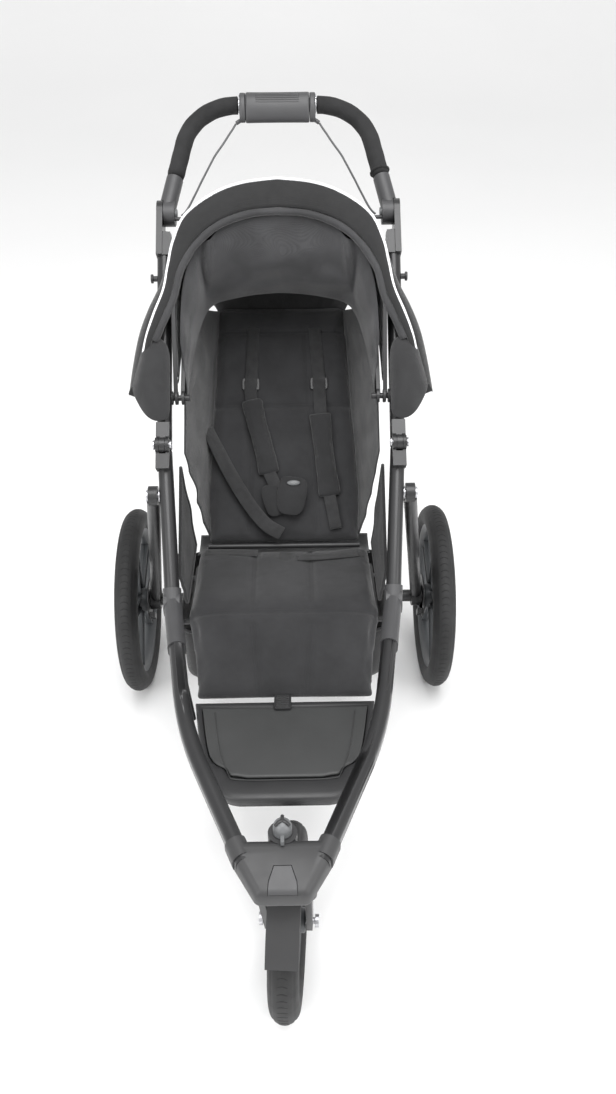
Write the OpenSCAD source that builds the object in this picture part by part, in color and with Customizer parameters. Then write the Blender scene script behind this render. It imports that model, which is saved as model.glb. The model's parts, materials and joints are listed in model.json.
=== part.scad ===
// Three-wheeled jogging stroller that folds. The front faces -Y, +Z is up.
// The origin is on the ground, under the middle of the whole stroller.

/* [Overall] */
// Distance between the front and the rear axle
wheelbase = 780; // [640:5:940]
// Width over the rear tyres
overall_w = 690; // [580:5:830]
/* [Wheels] */
// Radius over the rear tyre
rear_wheel_r = 198; // [165:1:238]
// Radius over the front tyre
front_wheel_r = 149; // [124:1:179]
// Width of every tyre
tyre_w = 47; // [40:1:56]
// Number of wide spokes in a rim
spokes = 5; // [3:1:7]
// Radius of the rear wheel pins
wheel_pin_r = 6; // [5:0.5:7]
// Running clearance of every pin in its bore, on the radius
running = 0.05; // [0.02:0.01:0.09]
/* [Fork] */
// How far the front axle sits behind the swivel axis
trail = 65; // [54:1:78]
// Angle that the front wheel is turned to, seen from above
front_turn = -4; // [-20:1:20]
// Radius of the swivel stem
stem_r = 9; // [7:0.5:11]
/* [Frame tubes] */
// Width of the oval frame tube
tube_w = 25; // [21:0.5:30]
// Depth of the oval frame tube
tube_d = 36; // [30:0.5:43]
// Wall of the frame tubes
tube_wall = 2; // [1.5:0.1:3]
// Half the spacing of the tubes at the handlebar
top_half_w = 207; // [200:1:230]
// Half the spacing of the tubes at the fold hinge
hinge_half_w = 203; // [198:1:226]
// Half the spacing of the tubes at the elbow
elbow_half_w = 187; // [182:1:210]
// Height of the elbow centre
elbow_z = 482; // [450:1:520]
// Distance from the rear axle forward to the elbow
elbow_ahead = 400; // [370:1:430]
// Slope of the upper tubes
upper_slope = 46.6; // [42:0.2:50]
// Length from the elbow to the handlebar knuckle
upper_len = 713; // [690:1:760]
// Length from the elbow to the fold hinge
hinge_at = 270; // [250:1:300]
// Length from the elbow to the rear leg pivot
leg_at = 190; // [170:1:210]
// Distance from the front axle forward to the tube ends in the nose
nose_ahead = 100; // [90:1:110]
// Height of the tube ends above the front tyre
nose_above = 256; // [250:1:290]
/* [Handlebar] */
// Reach of the handlebar from its knuckles
bar_reach = 224; // [186:1:268]
// Slope of the handlebar
bar_slope = 44; // [30:1:60]
// Diameter of the handlebar tube
bar_d = 25; // [21:0.5:30]
// Thickness of the foam sleeves
foam_t = 3.3; // [2:0.1:5]
// Radius of the bends in the handlebar
bar_bend_r = 100; // [80:1:110]
// Length of the twist grip block
grip_len = 142; // [118:1:150]
// Height of the twist grip block
grip_h = 54; // [48:1:60]
/* [Seat] */
// Width of the seat cushion at its front
seat_w = 350; // [292:1:352]
// Length of the seat cushion
seat_len = 192; // [170:1:200]
// Height of the seat surface
seat_z = 434; // [425:1:440]
// Thickness of the seat cushion
seat_t = 38; // [30:1:45]
// Length of the calf panel
calf_len = 168; // [150:1:175]
// Length of the back pad
back_len = 500; // [420:1:510]
// Thickness of the back pad
back_t = 26; // [20:1:32]
// Width of the back pad at its foot
back_w = 312; // [260:1:316]
// Slope of the back pad
back_slope = 47.4; // [45:0.2:50]
/* [Footrest] */
// Height of the footrest top
foot_z = 296; // [285:1:305]
// Depth of the footrest from front to back
foot_len = 232; // [210:1:240]
// Width of the footrest at the back
foot_w = 318; // [270:1:324]
// Width of the footrest at the front
foot_front_w = 214; // [190:1:230]
/* [Basket] */
// Width of the basket
basket_w = 400; // [340:1:404]
// Depth of the basket
basket_h = 140; // [120:1:150]
/* [Canopy] */
// Radius of the front bow
canopy_r = 365; // [352:1:372]
// Half the width inside the canopy's sides
canopy_half_w = 187; // [178:1:188]
// Angle of the front bow
bow_angle = 64; // [60:1:68]
// Thickness of the canopy cloth with its padding
cloth_t = 2.4; // [2:0.2:3]

/* [Hidden] */

gap = 0.5;              // between pieces that move past each other
smooth = 64;            // facets of plain round shapes
child_fn = 32;          // facets of what a hull joins

// Side view places, from the rear axle's ground point: [y, z]
front_axle_at = [-wheelbase, front_wheel_r];
nose_at = [-wheelbase - nose_ahead, front_wheel_r + nose_above];
elbow_at = [-elbow_ahead, elbow_z];
lower_slope = atan2(elbow_at[1] - nose_at[1], elbow_at[0] - nose_at[0]);
lower_len = norm(elbow_at - nose_at);
function up(l, n = 0) = elbow_at + l * [cos(upper_slope), sin(upper_slope)]
  + n * [-sin(upper_slope), cos(upper_slope)];
function half_at(l) = l < hinge_at
  ? elbow_half_w + (hinge_half_w - elbow_half_w) * l / hinge_at
  : hinge_half_w + (top_half_w - hinge_half_w) * (l - hinge_at) / (upper_len - hinge_at);
knuckle_at = up(upper_len);
bar_top = knuckle_at + bar_reach * [cos(bar_slope), sin(bar_slope)];

grip_r = grip_h / 2 - 4;    // the twist grip's rounded top

// The middle of the whole length goes to y = 0
y_front = min(-wheelbase - front_wheel_r, nose_at[0] - 49);
y_rear = max(rear_wheel_r, bar_top[0] + grip_r);
mid_y = -(y_front + y_rear) / 2;

// Nose and lower tubes, in the plane of the lower tubes
nose_half_w = 51;       // half the spacing of the tube ends
lower_bend = [147, 0.453];  // bend: half spacing, share of the length
lower_bend_r = 550;
sleeve_t = 2.5;         // wall of the elbow sleeves
elbow_front = 104;      // length of the elbow sleeve along the lower tube
elbow_rear = 26;        // length of the elbow sleeve along the upper tube
mitre = 12;             // the tubes stop this far from the elbow centre
nose_h = 44;            // height of the nose casting
nose_tip = 49;          // the casting reaches this far ahead of the tube ends
bush_t = 4;             // wall of the swivel bushes
swivel_y = front_axle_at[0] - trail;
crown_z = 2 * front_wheel_r + 8;   // underside of the fork crown
crown_t = 26;
stem_top = nose_at[1] + nose_h / 2 + 1;

// Fold hinge, in the plane of the upper tubes
eye_r = 13;             // hinge eyes
eye_t = 10;             // the moving eye's thickness
cheek_t = 6;            // each fixed eye's thickness
fold_pin_r = 5;
fold_n = tube_d / 2 + eye_r + 1;   // axis above the tube's middle
foot_l = 26;            // length of the hinge feet on the tubes
tube_gap = 3;           // the two tubes stop this far from the hinge line

// Rear legs
leg_r = 12;
leg_eye_r = 17;
leg_eye_t = 16;
leg_n = -6;             // pivot below the tube's middle
leg_pin_r = 6;
leg_pivot = up(leg_at, leg_n);
leg_eye_x = half_at(leg_at) + tube_w / 2 + 4 + leg_eye_t / 2;
wheel_x = overall_w / 2 - tyre_w / 2;
hub_half = 20;          // half the length of a rear hub
cap_t = 3.5;            // cap over the hub's outer end
box_w = 22;             // axle box at the foot of each leg
plate_t = 4;            // brake plate
box_x = wheel_x - hub_half - 2 - plate_t - box_w / 2;
box_r = 22;
wheel_pin_len = plate_t + 2 * hub_half + 3;
axle_r = 13;

// Rims
rim_w = 28;
rim_t = 13;
tyre_sunk = 6;          // the rim reaches this far into the tyre
hub_r = 26;
bearing_r = 13;
bearing_t = 8;
front_pin_r = 5;
fork_gap = tyre_w / 2 + 4;

// Seat
crease_at = [-152, seat_z];
seat_front = crease_at - [seat_len, 0];
calf_slope = 57;
board_t = 8;
back_lift = 10;         // the back pad starts this far up from its hinge
back_rod_r = 5;
back_top_w = 268;
strap_t = 1.6;
pad_t = 11;
panel_t = 3;
panel_x = elbow_half_w - tube_w / 2 - panel_t - 1;

// Footrest
foot_back = seat_front[0] - calf_len * cos(calf_slope) - 6;
foot_wall = 24;         // height of the tray
foot_round = 30;

// Canopy, turned about the X axis at its pivots
pivot_l = 364;          // place of the pivots along the upper tubes
pivot_at = up(pivot_l);
shell_step = cloth_t + 1;
rear_angles = [12, 38];
mid_angles = [18, 54];
front_angles = [36, bow_angle];
mid_bow_angle = 39;
bow_r = 4;
flap_n = tube_d / 2 + 9;
flap_t = 6;

// Brake cables: [x, distance from the knuckle, height over the bar's plane]
cable_r = 1.9;
cable_exit = [78, 188, -4];
CABLE = [[78, 188, -4], [84, 179, -7], [91, 169, -9], [98, 158, -11], [105, 147, -12],
  [112, 136, -12], [119, 124, -12], [125, 111, -12], [131, 97, -11], [137, 82, -9],
  [143, 66, -6], [149, 49, -3], [155, 33, 0], [160, 20, 2], [165, 9, 3], [170, 1, 3],
  [176, -5, 3]];

module placed() translate([0, mid_y, 0]) children();
module upper_plane() placed() translate([0, elbow_at[0], elbow_at[1]])
  rotate([upper_slope, 0, 0]) children();
module lower_plane() placed() translate([0, nose_at[0], nose_at[1]])
  rotate([lower_slope, 0, 0]) children();
module bar_plane() placed() translate([0, knuckle_at[0], knuckle_at[1]])
  rotate([bar_slope, 0, 0]) children();
module both_sides() {
  children();
  mirror([1, 0, 0]) children();
}
// A cylinder along X, centred on x
module pin_x(r, len, x = 0) translate([x, 0, 0]) rotate([0, 90, 0])
  cylinder(r = r, h = len, center = true, $fn = smooth);
module ring_x(r_out, r_in, len, x = 0) difference() {
  pin_x(r_out, len, x);
  pin_x(r_in, len + 2, x);
}

// Oval outline, w along X and d along Y
module oval(w, d) {
  if (d > w) {
    square([w, d - w], center = true);
    translate([0, (d - w) / 2]) circle(d = w, $fn = smooth);
    translate([0, -(d - w) / 2]) circle(d = w, $fn = smooth);
  }
  else circle(d = w, $fn = smooth);
}
module tube_outline(w, d, wall) difference() {
  oval(w, d);
  if (wall > 0) oval(w - 2 * wall, d - 2 * wall);
}
// A straight bar along Y from y0 to y1, its oval standing along Z
module bar_y(y0, y1, w = tube_w, d = tube_d, wall = 0) translate([0, y0, 0])
  rotate([-90, 0, 0]) linear_extrude(y1 - y0) tube_outline(w, d, wall);
// A bar from a to v to b in the XY plane, with a bend of radius r at v
module bent_bar(a, v, b, r, w = tube_w, d = tube_d, wall = 0) {
  dir_a = atan2(v[1] - a[1], v[0] - a[0]);
  dir_b = atan2(b[1] - v[1], b[0] - v[0]);
  turn = dir_b - dir_a;
  cut = r * tan(abs(turn) / 2);
  reach = norm(v - a) - cut;
  side = sign(turn);
  centre = a + reach * [cos(dir_a), sin(dir_a)] + side * r * [-sin(dir_a), cos(dir_a)];
  translate([a[0], a[1], 0]) rotate([0, 0, dir_a - 90]) bar_y(0, reach, w, d, wall);
  translate([v[0], v[1], 0]) rotate([0, 0, dir_b - 90]) bar_y(cut, norm(b - v), w, d, wall);
  translate([centre[0], centre[1], 0]) rotate([0, 0, side > 0 ? dir_a - 90 : dir_b + 90])
    rotate_extrude(angle = abs(turn), $fn = 2 * smooth) translate([r, 0]) tube_outline(w, d, wall);
}
// A round bar between two points
module strut(a, b, r, wall = 0) {
  v = b - a;
  translate(a) rotate([0, acos(v[2] / norm(v)), atan2(v[1], v[0])]) difference() {
    cylinder(r = r, h = norm(v), $fn = smooth);
    if (wall > 0) translate([0, 0, -1]) cylinder(r = r - wall, h = norm(v) + 2, $fn = smooth);
  }
}
module rounded_box(size, r) translate([0, 0, -size[2] / 2]) linear_extrude(size[2]) hull()
  for (x = [-1, 1], y = [-1, 1]) translate([x * (size[0] / 2 - r), y * (size[1] / 2 - r)])
    circle(r = r, $fn = child_fn);

// ---- Lower frame ----
// Direction that the tubes leave the nose in, from +X in their own plane
lower_dir = atan2(lower_bend[1] * lower_len, lower_bend[0] - nose_half_w);
module lower_path(w = tube_w, d = tube_d, wall = 0, stop = mitre) bent_bar([nose_half_w, 0],
  [lower_bend[0], lower_bend[1] * lower_len],
  [elbow_half_w - stop * 0.15, lower_len - stop], lower_bend_r, w, d, wall);
module lower_tube(side) color("dimgray") lower_plane()
  if (side > 0) lower_path(wall = tube_wall);
  else mirror([1, 0, 0]) lower_path(wall = tube_wall);
module lower_tube_left() lower_tube(-1);
module lower_tube_right() lower_tube(1);

module upper_bar(l0, l1, w = tube_w, d = tube_d, wall = 0) {
  x0 = half_at(l0);
  x1 = half_at(l1);
  translate([x0, l0, 0]) rotate([0, 0, -atan2(x1 - x0, l1 - l0)])
    bar_y(0, norm([x1 - x0, l1 - l0]), w, d, wall);
}
module mid_tubes() color("dimgray") upper_plane() both_sides()
  upper_bar(mitre, hinge_at - tube_gap, wall = tube_wall);

module lower_end_bar(w, d, reach, past) {
  dx = elbow_half_w - lower_bend[0];
  dy = lower_len * (1 - lower_bend[1]);
  lean = atan2(dx, dy);
  translate([elbow_half_w, lower_len, 0]) rotate([0, 0, -lean]) bar_y(-reach, past, w, d);
}
module elbows() color("gray") difference() {
  both_sides() {
    lower_plane() lower_end_bar(tube_w + 2 * sleeve_t, tube_d + 2 * sleeve_t, elbow_front, 2);
    upper_plane() upper_bar(-2, elbow_rear, tube_w + 2 * sleeve_t, tube_d + 2 * sleeve_t);
    placed() translate([elbow_half_w, elbow_at[0], elbow_at[1]])
      pin_x(tube_d / 2 + sleeve_t, tube_w + sleeve_t);
  }
  lower_plane() both_sides() lower_path();
  upper_plane() both_sides() upper_bar(mitre, hinge_at - tube_gap);
}

module nose_body(shrink = 0) hull() for (x = [-1, 1]) {
  translate([x * 57, 14, 0]) rounded_post(14 - shrink, nose_h);
  translate([x * 28, 13 - nose_tip, -12]) rounded_post(13 - shrink, nose_h - 9);
}
module nose_yoke() color("gray") placed() translate([0, nose_at[0], nose_at[1]]) difference() {
  union() {
    nose_body();
    translate([0, swivel_y - nose_at[0], crown_z + crown_t + 1 - nose_at[1]])
      cylinder(r = stem_r + bush_t + 7, h = stem_top - crown_z - crown_t - 1, $fn = smooth);
    rotate([lower_slope, 0, 0]) both_sides() translate([nose_half_w, 0, 0])
      rotate([0, 0, lower_dir - 90]) bar_y(6, 34, tube_w + 2 * sleeve_t, tube_d + 2 * sleeve_t);
  }
  rotate([lower_slope, 0, 0]) both_sides() translate([nose_half_w, 0, 0])
    rotate([0, 0, lower_dir - 90]) bar_y(0, 70);
  translate([0, swivel_y - nose_at[0], -nose_at[1]])
    cylinder(r = stem_r + bush_t, h = 2 * nose_at[1], $fn = smooth);
  inset_shape(0);
}
module rounded_post(r, h) {
  translate([0, 0, h / 2 - r]) sphere(r = r, $fn = 24);
  translate([0, 0, r - h / 2]) sphere(r = r, $fn = 24);
}
// Blank plate let into the top of the nose, a trapezoid that narrows to the back
module inset_shape(shrink) translate([0, -26, -2]) linear_extrude(60)
  polygon([[-21 + shrink, -32], [21 - shrink, -32], [19 - shrink, -6 - shrink],
    [12 - shrink, 14 - shrink], [-12 + shrink, 14 - shrink], [-19 + shrink, -6 - shrink]]);
module nose_inset() color("darkgray") placed() translate([0, nose_at[0], nose_at[1]])
  intersection() {
    nose_body(0.6);
    inset_shape(0.4);
  }

module swivel_bushes() color("silver") placed() translate([0, swivel_y, 0]) {
  h = stem_top - crown_z - crown_t - 2;
  difference() {
    translate([0, 0, crown_z + crown_t + 1]) cylinder(r = stem_r + bush_t, h = h, $fn = smooth);
    cylinder(r = stem_r + running, h = 2 * stem_top, $fn = smooth);
  }
}

// ---- Fold hinge ----
hinge_w = eye_t + 2 * (gap + cheek_t);
// Neck between an eye and its foot, and the foot that saddles the tube
module hinge_neck(y0, w) translate([0, y0, tube_d / 2]) translate([-w / 2, 0, 0])
  cube([w, eye_r + 4, eye_r + 1]);
module hinge_foot(y0) translate([-hinge_w / 2, y0, tube_d / 2 - 10])
  cube([hinge_w, foot_l, eye_r + 11]);
module fold_hinges() color("dimgray") upper_plane() both_sides() difference() {
  translate([hinge_half_w, hinge_at, 0]) union() {
    for (x = [-1, 1]) translate([x * (eye_t / 2 + gap + cheek_t / 2), 0, 0]) {
      translate([0, 0, fold_n]) pin_x(eye_r, cheek_t);
      hinge_neck(-eye_r - 4, cheek_t);
    }
    hinge_foot(-eye_r - 2 - foot_l);
  }
  translate([hinge_half_w, hinge_at, fold_n]) pin_x(fold_pin_r, tube_w + 20);
  upper_bar(mitre, hinge_at - tube_gap);
}
module hinge_pins() color("silver") {
  upper_plane() both_sides() translate([hinge_half_w, hinge_at, fold_n]) {
    pin_x(fold_pin_r, tube_w + 3);
    pin_x(fold_pin_r + 3, 3, tube_w / 2 + 2);
    pin_x(fold_pin_r + 3, 3, -tube_w / 2 - 2);
  }
  upper_plane() both_sides() translate([0, leg_at, leg_n]) {
    pin_x(leg_pin_r, leg_eye_t + 8, leg_eye_x);
    pin_x(leg_pin_r + 4, 4, leg_eye_x + leg_eye_t / 2 + 2.5);
    pin_x(leg_pin_r + 5, 5, half_at(leg_at) + tube_w / 2);
  }
}
plate_w = 11;           // outer cheek that carries the handlebar knuckle
plate_r = 24;
knuckle_pin_r = 6;
module upper_tube(side) color("dimgray") upper_plane() mirror([side > 0 ? 0 : 1, 0, 0])
  difference() {
    union() {
      upper_bar(hinge_at + tube_gap, upper_len - 42, wall = tube_wall);
      translate([hinge_half_w, hinge_at, 0]) {
        translate([0, 0, fold_n]) pin_x(eye_r, eye_t);
        hinge_neck(0, eye_t);
        hinge_foot(eye_r + 2);
      }
      translate([top_half_w + tube_w / 2 - plate_w / 2, upper_len, 0]) {
        pin_x(plate_r, plate_w);
        translate([0, -44, 0]) cube([plate_w, 88, 2 * plate_r - 2], center = true);
      }
      translate([top_half_w, upper_len - 66, 0]) cube([tube_w, 44, tube_d + 4], center = true);
    }
    translate([hinge_half_w, hinge_at, fold_n]) pin_x(fold_pin_r + running, tube_w + 20);
    translate([top_half_w, upper_len, 0]) pin_x(knuckle_pin_r + running, 60);
  }
module upper_tube_left() upper_tube(-1);
module upper_tube_right() upper_tube(1);

// ---- Rear legs and axle ----
module leg_frame() placed() translate([0, leg_pivot[0], leg_pivot[1]]) children();
leg_foot = [box_x, -leg_pivot[0], rear_wheel_r - leg_pivot[1]];
module rear_legs() color("dimgray") leg_frame() both_sides() difference() {
  union() {
    pin_x(leg_eye_r, leg_eye_t, leg_eye_x);
    strut([leg_eye_x, 0, 0], leg_foot, leg_r);
  }
  pin_x(leg_pin_r + running, 2 * leg_eye_t, leg_eye_x);
  for (s = [-1, 1]) pin_x(leg_eye_r + 1, leg_r, leg_eye_x + s * (leg_eye_t + leg_r) / 2);
  translate([0, leg_foot[1], leg_foot[2]]) pin_x(box_r, 3 * box_w, box_x);
}
module rear_axle() color("dimgray") placed() translate([0, 0, rear_wheel_r]) {
  ring_x(axle_r, axle_r - tube_wall, 2 * (box_x - box_w / 2));
  both_sides() {
    pin_x(box_r, box_w, box_x);
    pin_x(wheel_pin_r, wheel_pin_len, box_x + box_w / 2 + wheel_pin_len / 2);
  }
}
plate_x = box_x + box_w / 2 + plate_t / 2;
plate_out = 46;
brake_block = [12, 12, 32];
module brake_plates() color("black") placed() translate([0, 0, rear_wheel_r]) both_sides()
  difference() {
    union() {
      pin_x(plate_out, plate_t - 1, plate_x);
      for (a = [45, 135]) rotate([a, 0, 0]) translate([plate_x - 6, -36, 0])
        cube(brake_block, center = true);
    }
    pin_x(wheel_pin_r, 90, box_x + box_w / 2);
    pin_x(box_r, box_w, box_x);
  }
module brake_pedal() color("black") placed() translate([0, 0, rear_wheel_r]) {
  difference() {
    hull() {
      pin_x(axle_r + 7, 60);
      translate([0, 52, 6]) pin_x(5, 76);
    }
    pin_x(axle_r + running, 90);
  }
}

// ---- Wheels, along X, centred on the origin ----
module tyre_shape(r) color([0.08, 0.08, 0.08]) rotate([0, 90, 0]) rotate_extrude($fn = 2 * smooth)
  difference() {
    translate([r - tyre_w / 2, 0]) circle(d = tyre_w, $fn = smooth);
    translate([0, -rim_w / 2]) square([r - tyre_w + tyre_sunk, rim_w]);
  }
module rim_shape(r, hub, len, bore) color([0.25, 0.26, 0.27]) {
  out = r - tyre_w + tyre_sunk;
  inner = out - rim_t;
  rotate([0, 90, 0]) rotate_extrude($fn = 2 * smooth)
    polygon([[inner, -rim_w / 2 + 5], [out - 5, -rim_w / 2], [out, -rim_w / 2],
      [out, rim_w / 2], [out - 5, rim_w / 2], [inner, rim_w / 2 - 5]]);
  difference() {
    union() {
      pin_x(hub, len);
      rotate([90, 0, 90]) {
        linear_extrude(rib_depth, center = true) spoke_outline(hub - 5, inner + 5, rib_t);
        linear_extrude(web_t, center = true) spoke_outline(hub - 5, inner + 5, 0);
      }
    }
    pin_x(bore, len + 2);
  }
}
rib_depth = 16;         // depth of a spoke's two ribs along the axle
rib_t = 5;
web_t = 4;              // web between the ribs
// Spokes seen along the axle, from r0 to r1: only the two ribs if wall is above 0
module spoke_outline(r0, r1, wall) for (i = [0 : spokes - 1]) rotate(90 + i * 360 / spokes)
  difference() {
    polygon([[r0, -r0 * 0.55], [r1, -spoke_half], [r1, spoke_half], [r0, r0 * 0.55]]);
    if (wall > 0) polygon([[r0 - 1, -r0 * 0.55 + wall], [r1 + 1, -spoke_half + wall],
      [r1 + 1, spoke_half - wall], [r0 - 1, r0 * 0.55 - wall]]);
  }
spoke_half = 15;        // half a spoke's width at the rim
module rear_wheel_at(side) placed() translate([side * wheel_x, 0, rear_wheel_r]) children();
module rear_tyre_left() rear_wheel_at(-1) tyre_shape(rear_wheel_r);
module rear_tyre_right() rear_wheel_at(1) tyre_shape(rear_wheel_r);
module rear_rim_left() rear_wheel_at(-1) rim_shape(rear_wheel_r, hub_r, 2 * hub_half, bearing_r);
module rear_rim_right() rear_wheel_at(1) mirror([1, 0, 0])
  rim_shape(rear_wheel_r, hub_r, 2 * hub_half, bearing_r);
// Two bearings and the cap that closes the outer end of the hub
module hub_fittings(side) color("silver") mirror([side > 0 ? 0 : 1, 0, 0]) {
  for (s = [-1, 1]) ring_x(bearing_r, wheel_pin_r + running, bearing_t,
    s * (hub_half - bearing_t / 2));
  difference() {
    pin_x(hub_r - 2, cap_t, hub_half + cap_t / 2);
    pin_x(wheel_pin_r + 1, cap_t, hub_half + gap);
  }
}
module rear_hub_left() rear_wheel_at(-1) hub_fittings(-1);
module rear_hub_right() rear_wheel_at(1) hub_fittings(1);

// ---- Front fork and wheel, turned about the swivel axis ----
module swivelled() placed() translate([0, swivel_y, 0]) rotate([0, 0, front_turn]) children();
module fork() color("dimgray") swivelled() difference() {
  union() {
    translate([0, 0, crown_z]) cylinder(r = stem_r, h = stem_top + 6 - crown_z, $fn = smooth);
    translate([0, 6, crown_z + crown_t / 2]) rounded_box([94, 46, crown_t], 12);
    both_sides() hull() {
      translate([fork_gap + 7, 6, crown_z + 4]) rotate([0, 90, 0])
        cylinder(r = 17, h = 10, center = true, $fn = child_fn);
      translate([fork_gap + 5, trail, front_wheel_r]) rotate([0, 90, 0])
        cylinder(r = 15, h = 9, center = true, $fn = child_fn);
    }
  }
  translate([0, trail, front_wheel_r]) {
    pin_x(front_wheel_r + 5, 2 * fork_gap);
    pin_x(front_pin_r, 2 * fork_gap + 60);
  }
}
// Curved plate ahead of the tyre, from under the crown down to the front
fender_angles = [104, 151];
fender_tab = [20, 14, 10];
module fork_fender() color("gray") swivelled() {
  translate([0, 18, crown_z - fender_tab[2] / 2]) cube(fender_tab, center = true);
  fender_plate();
}
module fender_plate() translate([0, trail, front_wheel_r]) rotate([fender_angles[0], 0, 0]) rotate([90, 0, 90])
  rotate_extrude(angle = fender_angles[1] - fender_angles[0], $fn = 3 * smooth)
    translate([front_wheel_r + 7, 0]) square([4, tyre_w + 1], center = true);
module front_axle() color("silver") swivelled() translate([0, trail, front_wheel_r]) {
  pin_x(front_pin_r, 2 * fork_gap + 26);
  pin_x(10, 6, fork_gap + 16);
  pin_x(10, 6, -fork_gap - 16);
  translate([-fork_gap - 18, 0, 0]) rotate([-35, 0, 0]) translate([0, 24, 0])
    cube([5, 44, 12], center = true);
}
module front_wheel_at() swivelled() translate([0, trail, front_wheel_r]) children();
module front_tyre() front_wheel_at() tyre_shape(front_wheel_r);
module front_rim() front_wheel_at()
  rim_shape(front_wheel_r, 19, 2 * fork_gap - 3, front_pin_r + running);
module swivel_lock() color("lightgray") placed() translate([0, swivel_y, stem_top]) difference() {
  union() {
    translate([0, 0, 1]) cylinder(r = 13, h = 9, $fn = smooth);
    translate([0, 0, 10]) intersection() {
      sphere(r = 13, $fn = smooth);
      cylinder(r = 20, h = 20, $fn = smooth);
    }
    translate([0, -16, 5]) cube([5, 16, 7], center = true);
  }
  translate([0, 0, -1]) cylinder(r = stem_r + running, h = 7.5, $fn = smooth);
}

// ---- Seat ----
// Two bent rods under the seat and four stays on the footrest
rod_r = 5;
stay_r = 4.2;           // the hangers that hold the rods
seat_rod_z = seat_z - seat_t - 1 - board_t - rod_r;
module side_hangers() color("black") placed() {
  hang_x = seat_w / 2 + rod_r + 4;
  both_sides() {
    strut([elbow_half_w - 2, elbow_at[0] + 16, elbow_at[1] - 16],
      [hang_x, seat_front[0] + 24, seat_rod_z], stay_r);
    strut([half_at(100) - 2, up(100, -14)[0], up(100, -14)[1]],
      [hang_x, crease_at[0] - 32, seat_rod_z], stay_r);
    strut([foot_w / 2 + 2, foot_back - 24, foot_z - 16],
      [elbow_half_w - 12, elbow_at[0] - 80, elbow_at[1] - 26], rod_r);
    strut([foot_front_w / 2 + 24, foot_back - 150, foot_z - 16],
      [lower_bend[0] + 2, elbow_at[0] - 222, elbow_at[1] - 48], rod_r);
  }
  for (y = [seat_front[0] + 24, crease_at[0] - 32])
    strut([-hang_x - rod_r, y, seat_rod_z], [hang_x + rod_r, y, seat_rod_z], rod_r);
}
module seat_board() color("dimgray") placed()
  translate([0, (seat_front[0] + crease_at[0]) / 2 + 4, seat_z - seat_t - 1 - board_t / 2])
    rounded_box([seat_w - 8, seat_len - 14, board_t], 14);
module seat_cushion() color([0.27, 0.27, 0.28]) placed() hull() {
  for (x = [-1, 1]) {
    translate([x * (seat_w / 2 - 12), seat_front[0] + 14, seat_z - 14]) sphere(r = 12, $fn = 24);
    translate([x * (seat_w / 2 - 12), seat_front[0] + 14, seat_z - seat_t + 12]) sphere(r = 12, $fn = 24);
    translate([x * (seat_w / 2 - 24), crease_at[0] - 22, seat_z - 14]) sphere(r = 12, $fn = 24);
    translate([x * (seat_w / 2 - 24), crease_at[0] - 22, seat_z - seat_t + 12]) sphere(r = 12, $fn = 24);
  }
}
module calf_panel() color([0.27, 0.27, 0.28]) placed()
  translate([0, seat_front[0] - 2, seat_z - 22]) rotate([calf_slope, 0, 0]) hull()
  for (x = [-1, 1]) {
    translate([x * (seat_w / 2 - 8), -14, 0]) sphere(r = 7, $fn = 24);
    translate([x * (foot_w / 2 - 8), -calf_len + 32, 0]) sphere(r = 7, $fn = 24);
  }
module side_panels() color([0.2, 0.2, 0.21]) placed() both_sides()
  translate([panel_x - 6, 0, 0]) rotate([90, 0, 90]) linear_extrude(panel_t)
    polygon([[seat_front[0] + 6, seat_z + 2], [crease_at[0] + 4, seat_z + 2],
      up(hinge_at - 20, -30), up(52, -30)]);

module back_plane() placed() translate([0, crease_at[0], crease_at[1]])
  rotate([back_slope, 0, 0]) children();
module back_hinge() color("black") placed() translate([0, crease_at[0], crease_at[1]])
  pin_x(back_rod_r, back_w - 20);
module back_pad() color([0.25, 0.25, 0.26]) back_plane() translate([0, 0, -back_t / 2]) hull()
  for (x = [-1, 1], z = [-1, 1]) {
    translate([x * (back_w / 2 - 8), back_lift + 8, z * (back_t / 2 - 8)]) sphere(r = 8, $fn = 20);
    translate([x * (back_top_w / 2 - 14), back_len - 8, z * (back_t / 2 - 8)]) sphere(r = 8, $fn = 20);
  }

// ---- Harness, on the plane of the back pad ----
module strap_bar(p, q, w, t, z) {
  v = q - p;
  translate([p[0], p[1], z]) rotate([0, 0, atan2(v[1], v[0])])
    translate([0, -w / 2, 0]) cube([norm(v), w, t]);
}
module harness_straps() color([0.13, 0.13, 0.14]) back_plane() {
  strap_bar([-58, 436], [-62, 300], 22, strap_t, 0.4);
  strap_bar([66, 436], [74, 270], 22, strap_t, 0.4);
  strap_bar([-24, 136], [6, 78], 22, strap_t, 4);
  strap_bar([90, 92], [100, 34], 22, strap_t, 1);
}
module shoulder_pads() color([0.2, 0.2, 0.21]) back_plane() {
  translate([-42, 216, pad_t / 2 + 2.6]) rotate([0, 0, 11.5]) rounded_box([42, 158, pad_t], 8);
  translate([82, 178, pad_t / 2 + 2.6]) rotate([0, 0, 5]) rounded_box([40, 172, pad_t], 8);
}
module harness_hardware() color("black") back_plane() {
  for (s = [[-62, 324], [73, 324]]) translate([s[0], s[1], 4.4]) difference() {
    rounded_box([34, 24, 4], 4);
    cube([24, 12, 6], center = true);
  }
  translate([14, 92, 13]) rounded_box([52, 44, 12], 12);
}
module buckle_cover() color([0.2, 0.2, 0.21]) back_plane()
  translate([14, 96, 21.5]) rotate([0, 0, -8]) rounded_box([62, 78, 7], 14);
module waist_belt() color([0.13, 0.13, 0.14]) placed() {
  translate([2, crease_at[0] - 58, seat_z + 1.2]) cube([30, 84, strap_t], center = true);
  for (x = [-1, 1]) translate([x * 92, crease_at[0] - 24, seat_z + 1.2])
    rotate([0, 0, x * 6]) cube([104, 26, strap_t], center = true);
}

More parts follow.
